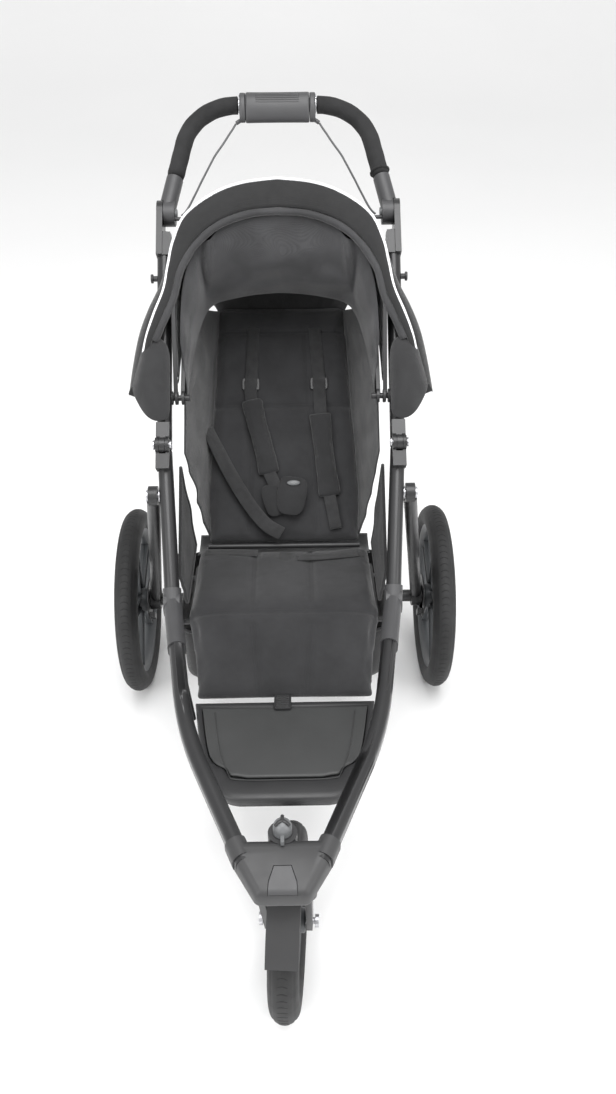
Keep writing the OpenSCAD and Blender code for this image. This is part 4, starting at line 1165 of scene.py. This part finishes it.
def lining_point(u, v):
    t = 1 - abs(u)
    top, low, back = through(TOP, t), through(LOW, t), through(TURN, t)
    side = math.copysign(1, u)
    a = fan(side * top.x, top.y, 63)
    b = PIVOT + Vector((side * low.x, low.y, low.z))
    c = PIVOT + Vector((side * back.x, back.y, back.z))
    if v <= 1:
        p = a.lerp(b, v)
        out = Vector((side * -0.3 * abs(u), -0.85, -0.35)).normalized()
        billow = 0.030 * math.sin(math.pi * v ** 0.85) * (0.35 + 0.65 * t ** 0.5)
        corner = math.exp(-((abs(u) - 0.50) / 0.045) ** 2)
        billow -= 0.014 * corner * math.sin(math.pi * min(1, v * 1.15)) ** 0.7
        billow += 0.012 * math.exp(-((abs(u) - 0.42 - 0.10 * v) / 0.03) ** 2) * (1 - v)
        billow += 0.011 * noise.noise(Vector((u * 3.4 + v, v * 2.6, 4.0))) * math.sin(math.pi * v)
        billow += 0.0045 * math.sin((u * side * 9 + v * 2.6) * 3.1) * v * (1 - v) * 4 * abs(u)
        return p + out * billow
    w = v - 1
    dip = Vector((0, 0.004, -0.012)) * math.sin(math.pi * w)
    return b.lerp(c, w) + dip * t ** 0.5


ROWS, COLUMNS = 46, 110
points = [lining_point(-1 + 2 * c / (COLUMNS - 1), 2 * r / (ROWS - 1)) for r in range(ROWS)
          for c in range(COLUMNS)]
lining = new_piece("canopy_lining", points, grid_faces(ROWS, COLUMNS))
thicken(lining, 0.0011, 0)
apply_all(lining)
subdivide(lining, 1)
apply_all(lining)
place(outward(lining), LINING, "canopy_front", slot="canopy_cloth")
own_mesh(lining)

# %% [markdown]
# Below the canopy's corners hang two padded wings, in front of the frame tubes. Each is a
# rounded patch, thick in the middle and thin at its sewn edge.

# %% Side wings
WING = [(0.206, 0.461), (0.224, 0.464), (0.238, 0.452), (0.246, 0.418), (0.254, 0.384),
        (0.255, 0.366), (0.246, 0.344), (0.232, 0.322), (0.216, 0.312), (0.200, 0.313),
        (0.1915, 0.322), (0.1900, 0.350), (0.1900, 0.385), (0.1905, 0.425), (0.196, 0.450)]


def wing(side):
    outline = smooth_line([Vector((x, along, 0)) for x, along in WING + WING[:1]], 3)[:-1]
    middle = sum(outline, Vector()) / len(outline)
    rings, top = [], 0.0155
    for share in (1.0, 0.96, 0.86, 0.70, 0.5, 0.28, 0.06):
        rise = top * (1 - share ** 3.2)
        rings.append([(p.lerp(middle, 1 - share), rise) for p in outline])
    sides = []
    for sign in (1, -0.35):
        order = rings if sign > 0 else rings[1:]
        sides.append([[up(side * p.x, p.y, 0.0325 + sign * rise
                          + 0.0016 * noise.noise(Vector((p.x * 60, p.y * 40, sign))))
                       for p, rise in ring] for ring in order])
    return loft("wing", sides[0][::-1] + sides[1])


wings = join("canopy_wings", [wing(-1), wing(1)])
subdivide(wings, 1)
apply_all(wings)
place(outward(wings), PAD_CLOTH, "handle_frame", "canopy_flaps", slot="canopy_cloth")
print("wings", len(wings.data.polygons), "faces")

# %% [markdown]
# The seat back is a long pad sewn in panels: two seams run up it and two cross it. It is
# lofted a little small, puffed, and then its seams are pressed in and stitched.

# %% Back pad
BACK_OUT = Vector((0, -math.sin(BACK_SLOPE), math.cos(BACK_SLOPE)))


def back_half(along):
    points = [(0.012, 0.150), (0.10, 0.1535), (0.20, 0.1485), (0.28, 0.142), (0.44, 0.134),
              (0.492, 0.128)]
    for (a, wa), (b, wb) in zip(points, points[1:]):
        if along <= b:
            return wa + (wb - wa) * max(0, (along - a) / (b - a))
    return points[-1][1]


def pad_ring(along, grow, deep):
    ring, half = [], back_half(along) + grow
    for k in range(56):
        c, s = math.cos(k * math.tau / 56), math.sin(k * math.tau / 56)
        x = math.copysign(abs(c) ** 0.22, c) * half
        out = -0.013 + math.copysign(abs(s) ** 0.5, s) * (0.0085 + deep)
        if s > 0:
            out += 0.005 * min(1, (abs(x) / half) ** 4)
        ring.append(on_back(x, along, out))
    return ring


spots = [(0.004, -0.012, -0.006), (0.006, -0.004, -0.002)]
spots += [(0.010 + 0.478 * k / 30, -0.001, 0) for k in range(31)]
spots += [(0.491, -0.004, -0.002), (0.493, -0.014, -0.006)]
back = loft("back_cushion", [pad_ring(*spot) for spot in spots])
puff(back, 0.0058, 0.006)
back_seams = [[on_back(-0.058, 0.440), on_back(-0.064, 0.200), on_back(-0.069, 0.03)],
              [on_back(0.046, 0.440), on_back(0.058, 0.200), on_back(0.066, 0.03)],
              [on_back(-0.135, 0.434), on_back(0.135, 0.434)],
              [on_back(-0.143, 0.280), on_back(0.143, 0.280)]]
press_seams(back, back_seams, BACK_OUT, 0.0042, 0.0055)
subdivide(back, 1)
apply_all(back)
place(outward(back), CLOTH, "seat_back", "back_pad", slot="fabric")
lines = []
for path in back_seams:
    whole_path = [q for a, b in zip(path, path[1:]) for q in dense(a, b)]
    for shift in (-0.0032, 0.0032):
        side = Vector((shift, 0, 0))
        if abs(path[0].x - path[-1].x) > 0.1:
            side = on_back(0, shift) - CREASE
        lines.append(on_surface(back, [p + side for p in whole_path], BACK_OUT))
stitch_lines("back_stitches", lines, "seat_back")
print("back pad", len(back.data.polygons), "faces")

# %% [markdown]
# The pad's sides carry on as thin cloth wings that close the gap to the side walls.

# %% Back wings
for side, label in ((-1, "left"), (1, "right")):
    points = []
    for r in range(40):
        for c in range(26):
            t = c / 25
            first, last = 0.018 + 0.122 * t, 0.484 - 0.070 * t
            along = first + (last - first) * r / 39
            inner = back_half(along) - 0.010
            limit = 0.1735 - 0.028 * max(0, along - 0.36) / 0.12 * (1 - t) ** 2
            x = inner + (limit - inner) * t ** 0.55
            fold = noise.noise(Vector((along * 9, t * 2.5, side * 3.0))) * 0.006
            fold += 0.003 * math.sin(along * 55 + t * 4)
            out = -0.014 + 0.192 * t
            points.append(on_back(side * (x - abs(fold) * math.sin(math.pi * t)), along, out))
    cloth = new_piece("back_side_cloth_" + label, points, grid_faces(40, 26))
    thicken(cloth, 0.0016)
    apply_all(cloth)
    place(outward(cloth), PAD_CLOTH, "seat_back", slot="fabric")
    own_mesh(cloth)

# %% [markdown]
# A loose flap of cloth stands up from the pad's top and closes the gap under the canopy.

# %% Head flap
points = []
for r in range(14):
    v = r / 13
    for c in range(60):
        u = -1 + 2 * c / 59
        x = u * (0.126 + 0.022 * v)
        drop = 0.030 * v * abs(u) ** 3
        point = on_back(x, 0.480 + 0.016 * v, -0.016).lerp(
            Vector((x, 0.181 + AXLE_Y, 0.829 - drop)), v ** 1.3)
        point.y += 0.004 * noise.noise(Vector((u * 6, v * 2, 9))) * math.sin(math.pi * v)
        points.append(point)
head = new_piece("head_flap", points, grid_faces(14, 60))
thicken(head, 0.0014)
apply_all(head)
place(outward(head), CANOPY_OUT, "seat_back", slot="fabric")
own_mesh(head)

# %% [markdown]
# Webbing is a flat woven strip a millimetre and a half thick. It is swept along its route
# with its width held across the pad, and it turns over at the sliders and the buckle.

# %% Harness webbing
def strap(name, path, width, normal, thick=0.0016, steps=6):
    """A flat strap along a path. normal is the way its face looks, or one for each point."""
    line = smooth_line(path, steps)
    normals = smooth_line(normal, steps) if isinstance(normal, list) else [normal] * len(line)
    rings = []
    for i, p in enumerate(line):
        along = (line[min(i + 1, len(line) - 1)] - line[max(i - 1, 0)]).normalized()
        face = (normals[i] - along * along.dot(normals[i])).normalized()
        side = along.cross(face)
        ring = []
        for x, z in ((-0.5, 0.2), (-0.47, 0.5), (-0.2, 0.56), (0.2, 0.56), (0.47, 0.5),
                     (0.5, 0.2), (0.5, -0.2), (0.47, -0.5), (-0.47, -0.5), (-0.5, -0.2)):
            ring.append(p + side * width * x + face * thick * z)
        rings.append(ring)
    return loft(name, rings)


straps = [
    strap("s", [on_back(-0.056, 0.445, -0.001), on_back(-0.058, 0.40, 0.003),
                on_back(-0.060, 0.345, 0.005), on_back(-0.062, 0.324, 0.0095),
                on_back(-0.062, 0.300, 0.007), on_back(-0.057, 0.272, 0.011)], 0.024, BACK_OUT),
    strap("s", [on_back(0.066, 0.445, -0.001), on_back(0.069, 0.40, 0.003),
                on_back(0.072, 0.345, 0.005), on_back(0.073, 0.324, 0.0095),
                on_back(0.074, 0.290, 0.007), on_back(0.076, 0.252, 0.011)], 0.024, BACK_OUT),
    strap("s", [on_back(0.089, 0.100, 0.011), on_back(0.094, 0.07, 0.012),
                on_back(0.101, 0.030, 0.010)], 0.023, BACK_OUT),
    strap("s", [on_back(-0.028, 0.146, 0.011), on_back(-0.016, 0.118, 0.014),
                on_back(-0.002, 0.098, 0.016)], 0.024, BACK_OUT),
    strap("s", [on_back(-0.148, 0.235, 0.010), on_back(-0.132, 0.20, 0.016),
                on_back(-0.105, 0.145, 0.016), on_back(-0.070, 0.085, 0.016),
                on_back(-0.035, 0.040, 0.018), on_back(-0.004, 0.020, 0.022)], 0.026,
          [Vector((0.5, -0.6, 0.5)), Vector((0.35, -0.6, 0.6)), Vector((0.1, -0.7, 0.7)),
           BACK_OUT, BACK_OUT, BACK_OUT]),
]
place(join("harness_webbing", straps), WEBBING, "seat_back", "harness_straps", slot="webbing")
place(from_cad("harness_hardware", edge=0.0009), PLASTIC, "seat_back", "harness_hardware",
      slot="black_plastic")
print("webbing", len(straps), "strips")

# %% [markdown]
# The shoulder pads wrap round the straps. They are soft tubes with a sewn hem, puffed and
# pinched across where they bend.

# %% Shoulder pads
def soft_bar(points, width, thick, pinch=0.0):
    line, rings = smooth_line(points, 8), []
    for i, p in enumerate(line):
        t = i / (len(line) - 1)
        end = min(1.0, (min(t, 1 - t) / 0.05 + 0.06)) ** 0.4
        along = (line[min(i + 1, len(line) - 1)] - line[max(i - 1, 0)]).normalized()
        side = along.cross(BACK_OUT).normalized()
        face = side.cross(along)
        tight = 1 - pinch * (0.5 + 0.5 * math.sin(t * 34)) * math.exp(-((t - 0.1) / 0.16) ** 2)
        ring = []
        for k in range(32):
            c, s = math.cos(k * math.tau / 32), math.sin(k * math.tau / 32)
            ring.append(p + side * math.copysign(abs(c) ** 0.35, c) * width / 2 * (0.9 + 0.1 * end)
                        + face * math.copysign(abs(s) ** 0.7, s) * thick / 2 * end * tight)
        rings.append(ring)
    return loft("soft_bar", rings)


pads = [soft_bar([on_back(-0.0605, 0.292, 0.0085), on_back(-0.053, 0.255, 0.0095),
                  on_back(-0.041, 0.205, 0.0095), on_back(-0.026, 0.140, 0.0095)],
                 0.042, 0.012, 0.25),
        soft_bar([on_back(0.0735, 0.262, 0.0085), on_back(0.077, 0.22, 0.0095),
                  on_back(0.083, 0.16, 0.0095), on_back(0.0900, 0.094, 0.0095)],
                 0.044, 0.012, 0.18)]
shoulder = join("shoulder_cushions", pads)
puff(shoulder, 0.0035, 0.0032, 3.0)
for vertex in shoulder.data.vertices:
    vertex.co += vertex.normal * 0.0010 * noise.noise(vertex.co * 46)
subdivide(shoulder, 1)
apply_all(shoulder)
place(outward(shoulder), PAD_CLOTH, "seat_back", "shoulder_pads", slot="fabric")
hems = []
for s, (a, b) in ((-1, ((-0.0605, 0.288), (-0.027, 0.144))), (1, ((0.0735, 0.258), (0.0895, 0.098)))):
    for shift in (-0.0165, 0.0165):
        path = dense(on_back(a[0] + shift, a[1]), on_back(b[0] + shift, b[1]))
        hems.append(on_surface(shoulder, path, BACK_OUT))
stitch_lines("shoulder_stitches", [h for h in hems if len(h) > 2], "seat_back")

# %% [markdown]
# The crotch buckle is covered by a padded flap with a light grey button showing at its
# top, and a second small pad lies half behind it.

# %% Buckle cover
def flap(centre, width, length, lean, out, thick, top=0.8):
    rings = []
    for share in (1.0, 0.97, 0.88, 0.72, 0.5, 0.25, 0.05):
        ring = []
        for k in range(44):
            c, s = math.cos(k * math.tau / 44), math.sin(k * math.tau / 44)
            x = math.copysign(abs(c) ** 0.55, c) * width / 2
            y = math.copysign(abs(s) ** 0.6, s) * length / 2
            x *= 1 - (1 - top) * (0.5 - y / length)
            a = math.radians(lean)
            x, y = x * math.cos(a) - y * math.sin(a), x * math.sin(a) + y * math.cos(a)
            ring.append((centre[0] + x * share, centre[1] + y * share, thick * (1 - share ** 3)))
        rings.append(ring)
    upper = [[on_back(x, y, out + h) for x, y, h in ring] for ring in rings[::-1]]
    under = [[on_back(x, y, out - 0.4 * h) for x, y, h in ring] for ring in rings[1:]]
    return loft("flap", upper + under)


cover = join("buckle_cover_pad", [flap((0.016, 0.094), 0.060, 0.076, -8, 0.0205, 0.0058, 0.86),
                                  flap((-0.018, 0.088), 0.044, 0.064, 14, 0.0130, 0.0050, 0.9)])
subdivide(cover, 1)
apply_all(cover)
place(outward(cover), PAD_CLOTH, "seat_back", "buckle_cover", slot="fabric")
button = loft("button", [[on_back(0.020 + w * math.cos(a), 0.118 + h * math.sin(a), out)
                          for a in [k * math.tau / 24 for k in range(24)]]
                         for w, h, out in ((0.013, 0.0055, 0.0245), (0.0128, 0.0053, 0.0275),
                                           (0.011, 0.0042, 0.0286), (0.004, 0.002, 0.0289))])
button.name = "buckle_button"
place(button, LIGHT, "seat_back")

# %% [markdown]
# The seat and the panel below it are one long cushion. It runs from the crease to the seat's
# front edge, rolls over it and slopes down to the footrest.

# %% Seat cushion
RUN = smooth_line([Vector((0, y + AXLE_Y, z)) for y, z in
                   ((-0.158, 0.4205), (-0.20, 0.4215), (-0.26, 0.4205), (-0.315, 0.4195),
                    (-0.341, 0.4140), (-0.356, 0.394), (-0.375, 0.366), (-0.400, 0.327),
                    (-0.4285, 0.2835))], 6)


def run_half(share):
    spots = [(0, 0.166), (0.2, 0.170), (0.5, 0.1745), (0.62, 0.1735), (1, 0.1585)]
    for (a, wa), (b, wb) in zip(spots, spots[1:]):
        if share <= b:
            return wa + (wb - wa) * (share - a) / (b - a)
    return spots[-1][1]


rings, fronts = [], []
for i, p in enumerate(RUN):
    share = i / (len(RUN) - 1)
    along = (RUN[min(i + 1, len(RUN) - 1)] - RUN[max(i - 1, 0)]).normalized()
    face = Vector((1, 0, 0)).cross(along)
    face = face if face.z > 0 else -face
    fronts.append(face)
    half, thick = run_half(share), 0.0125 if share < 0.6 else 0.0125 - 0.006 * (share - 0.6)
    end = min(1, (min(share, 1 - share) / 0.02 + 0.15)) ** 0.5
    ring = []
    for k in range(64):
        c, s = math.cos(k * math.tau / 64), math.sin(k * math.tau / 64)
        ring.append(p + Vector((math.copysign(abs(c) ** 0.2, c) * half * (0.985 + 0.015 * end), 0, 0))
                    + face * math.copysign(abs(s) ** 0.55, s) * thick * end)
    rings.append(ring)
seat = loft("seat_and_calf_cushion", rings)
puff(seat, 0.0062, 0.007)


def on_run(x, share):
    spot = share * (len(RUN) - 1)
    i = min(int(spot), len(RUN) - 2)
    p = RUN[i].lerp(RUN[i + 1], spot - i) + fronts[i] * 0.016
    return Vector((x, p.y, p.z))


seat_seams = [[on_run(-0.055, 0.02), on_run(-0.055, 0.48)], [on_run(0.050, 0.02), on_run(0.050, 0.48)],
              [on_run(-0.165, 0.50), on_run(0.165, 0.50)]]
press_seams(seat, seat_seams, Vector((0, -0.2, 1)).normalized(), 0.0042, 0.0055)
calf_seams = [[on_run(-0.055, 0.60), on_run(-0.045, 0.97)], [on_run(0.050, 0.60), on_run(0.035, 0.97)]]
CALF_OUT = Vector((0, -math.sin(math.radians(57)), math.cos(math.radians(57))))
press_seams(seat, calf_seams, CALF_OUT, 0.0036, 0.005)
subdivide(seat, 1)
apply_all(seat)
place(outward(seat), CLOTH, "frame", "seat_cushion", "calf_panel", slot="fabric")
lines = []
for path, out in [(s, Vector((0, 0, 1))) for s in seat_seams] + [(s, CALF_OUT) for s in calf_seams]:
    whole_path = [q for a, b in zip(path, path[1:]) for q in dense(a, b)]
    for shift in (-0.0032, 0.0032):
        side = Vector((shift, 0, 0)) if abs(path[0].x - path[-1].x) < 0.1 else Vector((0, shift, 0))
        found = on_surface(seat, [p + side for p in whole_path], out)
        if len(found) > 2:
            lines.append(found)
stitch_lines("seat_stitches", lines, "frame")
print("seat", len(seat.data.polygons), "faces")

# %% [markdown]
# A strip of cloth runs on from the seat under the hinge rod and closes the crease.

# %% Crease cloth
points = []
profile = smooth_line([Vector((0, y, z)) for y, z in
                       ((-0.166, 0.428), (-0.156, 0.419), (-0.140, 0.414), (-0.115, 0.412),
                        (-0.085, 0.418))], 4)
for p in profile:
    y, z = p.y, p.z
    for c in range(41):
        x = -0.166 + 0.332 * c / 40
        points.append(Vector((x, y + AXLE_Y, z + 0.002 * noise.noise(Vector((x * 30, y * 40, 1))))))
crease = new_piece("crease_cloth", points, grid_faces(len(points) // 41, 41))
thicken(crease, 0.0014)
apply_all(crease)
place(outward(crease), PAD_CLOTH, "frame", slot="fabric")

# %% [markdown]
# Low webbing lies on the seat: a strap comes up through the slot, and a looped one runs to
# the right side.

# %% Seat straps
def on_seat(x, y, lift):
    return Vector((x, y + AXLE_Y, 0.4348 + lift))


low = [strap("s", [on_seat(0.003, -0.238, -0.004), on_seat(0.003, -0.228, 0.0035),
                   on_seat(0.004, -0.205, 0.0045), on_seat(0.006, -0.185, 0.005)], 0.026,
             Vector((0, 0, 1))),
       strap("s", [on_seat(0.024, -0.205, 0.004), on_seat(0.060, -0.203, 0.006),
                   on_seat(0.105, -0.199, 0.006), on_seat(0.150, -0.190, 0.004)], 0.022,
             Vector((0, 0, 1))),
       strap("s", [on_seat(0.026, -0.206, 0.0075), on_seat(0.060, -0.208, 0.0095),
                   on_seat(0.100, -0.203, 0.009), on_seat(0.140, -0.194, 0.007)], 0.020,
             Vector((0, 0, 1))),
       strap("s", [on_seat(-0.150, -0.178, 0.003), on_seat(-0.10, -0.182, 0.005),
                   on_seat(-0.05, -0.186, 0.005)], 0.022, Vector((0, 0, 1)))]
place(join("waist_webbing", low), WEBBING, "frame", "waist_belt", slot="webbing")

# %% [markdown]
# The side walls are net, from the cushion's edge up to the frame tubes, with a bound edge.

# %% Side walls
for side, label in ((-1, "left"), (1, "right")):
    x0 = 0.168
    corner = [Vector((0, -0.336 + AXLE_Y, 0.437)), Vector((0, -0.150 + AXLE_Y, 0.437)),
              up(0, 0.247, -0.032), up(0, 0.055, -0.032)]
    points = []
    for r in range(20):
        v = r / 19
        for c in range(30):
            u = c / 29
            p = corner[0].lerp(corner[1], u).lerp(corner[3].lerp(corner[2], u), v)
            sink = 0.004 * noise.noise(Vector((u * 3, v * 3, side * 5))) * math.sin(math.pi * v)
            points.append(Vector((side * (x0 + 0.0025 + 0.0085 * v + sink), p.y, p.z)))
    wall = new_piece("side_net_" + label, points, grid_faces(20, 30))
    rim = [points[c] for c in range(30)] + [points[r * 30 + 29] for r in range(1, 20)]
    rim += [points[19 * 30 + c] for c in range(28, -1, -1)]
    rim += [points[r * 30] for r in range(18, -1, -1)]
    thicken(wall, 0.0014)
    apply_all(wall)
    place(outward(wall), NET, "frame", slot="fabric")
    edge = sweep("side_net_edge_" + label, rim, 0.006, 0.004, sides=10)
    place(edge, PAD_CLOTH, "frame")
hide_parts("side_panels")

# %% [markdown]
# The footrest is a moulded tray with a sloping outer wall. Its lid lies inside a bevelled
# rim, and a ribbed strap latches it at the back.

# %% Footrest
FOOT_BACK, FOOT_LEN, FOOT_Z = -0.4415 + AXLE_Y, 0.225, 0.296


def foot_ring(shrink, z, front=0.0, back=0.0):
    w, f, n, r = 0.159, 0.107, FOOT_LEN - front, 0.030
    right = [(w - shrink, -shrink - back), (0.1375 + 0.0015 - shrink, -0.130),
             (f + 0.004 - shrink, -n + 0.034), (f - 0.004 - shrink, -n + 0.015 + shrink * 0.4),
             (f - 0.016 - shrink, -n + 0.004 + shrink), (f - 0.032 - shrink, -n + shrink)]
    corner = smooth_line([Vector((x, y, 0)) for x, y in right], 4)
    ring = corner + [Vector((-p.x, p.y, 0)) for p in reversed(corner)]
    return [Vector((p.x, FOOT_BACK + p.y, FOOT_Z + z)) for p in ring]


tray = loft("footrest_moulded_tray", [foot_ring(0.0135, -0.006, 0.030), foot_ring(0.0125, -0.0005, 0.030),
            foot_ring(0.0115, 0.0010, 0.026), foot_ring(0.0045, 0.0006, 0.008),
            foot_ring(0.0020, -0.0010, 0.002), foot_ring(0.0008, -0.0045),
            foot_ring(0.0040, -0.0215), foot_ring(0.0080, -0.0235)])
tray.data.materials.clear()
apply_all(tray)
place(outward(tray), FOOT_RIM, "frame", "footrest_tray", slot="nose_plastic")
lid_rings = [(0.0150, -0.0040, 0.031, 0.002), (0.0146, 0.0006, 0.031, 0.002),
             (0.0160, 0.0018, 0.0325, 0.0032), (0.0175, 0.0020, 0.034, 0.005)]
lid = loft("footrest_flat_lid", [foot_ring(*numbers) for numbers in lid_rings])
place(outward(lid), FOOT, "frame", "footrest_lid", slot="nose_plastic")
step_ring = smooth_line([Vector((x, FOOT_BACK + y, FOOT_Z + 0.0021)) for x, y in
                         ((-0.122, -0.030), (-0.110, -0.110), (-0.092, -0.172), (-0.076, -0.186),
                          (0, -0.188), (0.076, -0.186), (0.092, -0.172), (0.110, -0.110),
                          (0.122, -0.030))], 4)
place(sweep("footrest_lid_bead", step_ring, 0.003, 0.0014, Vector((0, 0, 1)), 8), FOOT, "frame")
place(from_cad("footrest_latch", edge=0.0008), PLASTIC, "frame", "footrest_latch",
      slot="black_plastic")
print("footrest", len(tray.data.polygons) + len(lid.data.polygons), "faces")

# %% [markdown]
# The basket is a cloth shell hung from the lower tubes. Its rim is bound, its walls pull in
# between the corners and its floor sags a little.

# %% Basket
def basket_ring(y0, y1, half, z, pull=0.0, drop=0.0, count=96):
    ring, mid = [], (y0 + y1) / 2
    for k in range(count):
        c, s = math.cos(k * math.tau / count), math.sin(k * math.tau / count)
        x, y = math.copysign(abs(c) ** 0.28, c), math.copysign(abs(s) ** 0.28, s)
        near = 1 - min(abs(x), abs(y)) ** 2
        ring.append(Vector((x * (half - pull * near * abs(x) ** 8), mid + AXLE_Y
                            + y * ((y1 - y0) / 2 - pull * near * abs(y) ** 8),
                            z - drop * near
                            + 0.0015 * noise.noise(Vector((x * 3, y * 3, z * 30))))))
    return ring


rings = [basket_ring(-0.322, -0.042, 0.200, 0.3535, 0.004, 0.006),
         basket_ring(-0.320, -0.045, 0.1985, 0.325, 0.007, 0.004),
         basket_ring(-0.314, -0.051, 0.197, 0.285, 0.009), basket_ring(-0.306, -0.058, 0.196, 0.245, 0.007),
         basket_ring(-0.300, -0.064, 0.194, 0.224, 0.003), basket_ring(-0.292, -0.072, 0.186, 0.2165)]
for share in (0.85, 0.6, 0.35, 0.12):
    rings.append(basket_ring(-0.182 - 0.11 * share, -0.182 + 0.11 * share, 0.186 * share,
                             0.2160 - 0.0012 * (1 - share)))
basket = loft("basket_cloth", rings, caps=False)
basket.data.update()
thicken(basket, 0.0022, 0)
subdivide(basket, 1)
apply_all(basket)
place(outward(basket), BASKET, "frame", "basket", slot="fabric")
binding = rings[0] + rings[0][:1]
place(sweep("basket_binding", binding, 0.007, 0.005, Vector((0, 0, 1)), 12), PAD_CLOTH, "frame")

# %% [markdown]
# The studio is a pale floor that curves up behind, two large soft lights and one weaker
# one from the left, so that dark cloth still shows its folds.

# %% Floor and light
floor_rings = []
for x in (-8, 8):
    floor_rings.append([Vector((x, y, z)) for y, z in
                        ((-8, 0), (6, 0), (7.5, 0.3), (8.4, 1.2), (8.8, 2.6), (8.8, 9))])
floor = new_piece("studio_floor", [p for row in floor_rings for p in row],
                  grid_faces(2, 6))
subdivide(floor, 2)
paper = Finish("studio_paper", (0.93, 0.93, 0.93), 0.9)
paper.mottle(paper.noise(0.6, 2), 0.01)
floor.data.materials.append(paper.material)


def soft_light(name, place_at, target, size, power):
    data = bpy.data.lights.new(name, "AREA")
    data.shape, data.size, data.energy = "DISK", size, power
    lamp = bpy.data.objects.new(name, data)
    lamp.location = place_at
    lamp.rotation_euler = (Vector(target) - Vector(place_at)).to_track_quat("-Z", "Y").to_euler()
    scene.collection.objects.link(lamp)


soft_light("overhead", (0.2, -0.9, 3.4), (0, 0, 0.5), 2.6, 92)
soft_light("front_left", (-2.3, -2.4, 2.0), (0, 0, 0.6), 1.8, 54)
soft_light("front_right", (2.5, -1.9, 1.7), (0, 0, 0.6), 1.8, 40)
world = bpy.data.worlds.new("studio_air")
world.use_nodes = True
world.node_tree.nodes["Background"].inputs["Color"].default_value = (1, 1, 1, 1)
world.node_tree.nodes["Background"].inputs["Strength"].default_value = 0.85
scene.world = world
scene.view_settings.view_transform = "Standard"
print("lights", len(bpy.data.lights))

# %% [markdown]
# The last cell prints each CAD node that still shows its plain shape, and removes the helper shapes.

# %% Leftover CAD shapes and helpers
for node in frame["nodes"].values():
    if not node.hide_render:
        print("still the plain CAD shape:", node.name)
for helper in [o for o in scene.objects if o.name.endswith("_shape") and o.hide_render
               and "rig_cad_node" not in o]:
    bpy.data.objects.remove(helper)
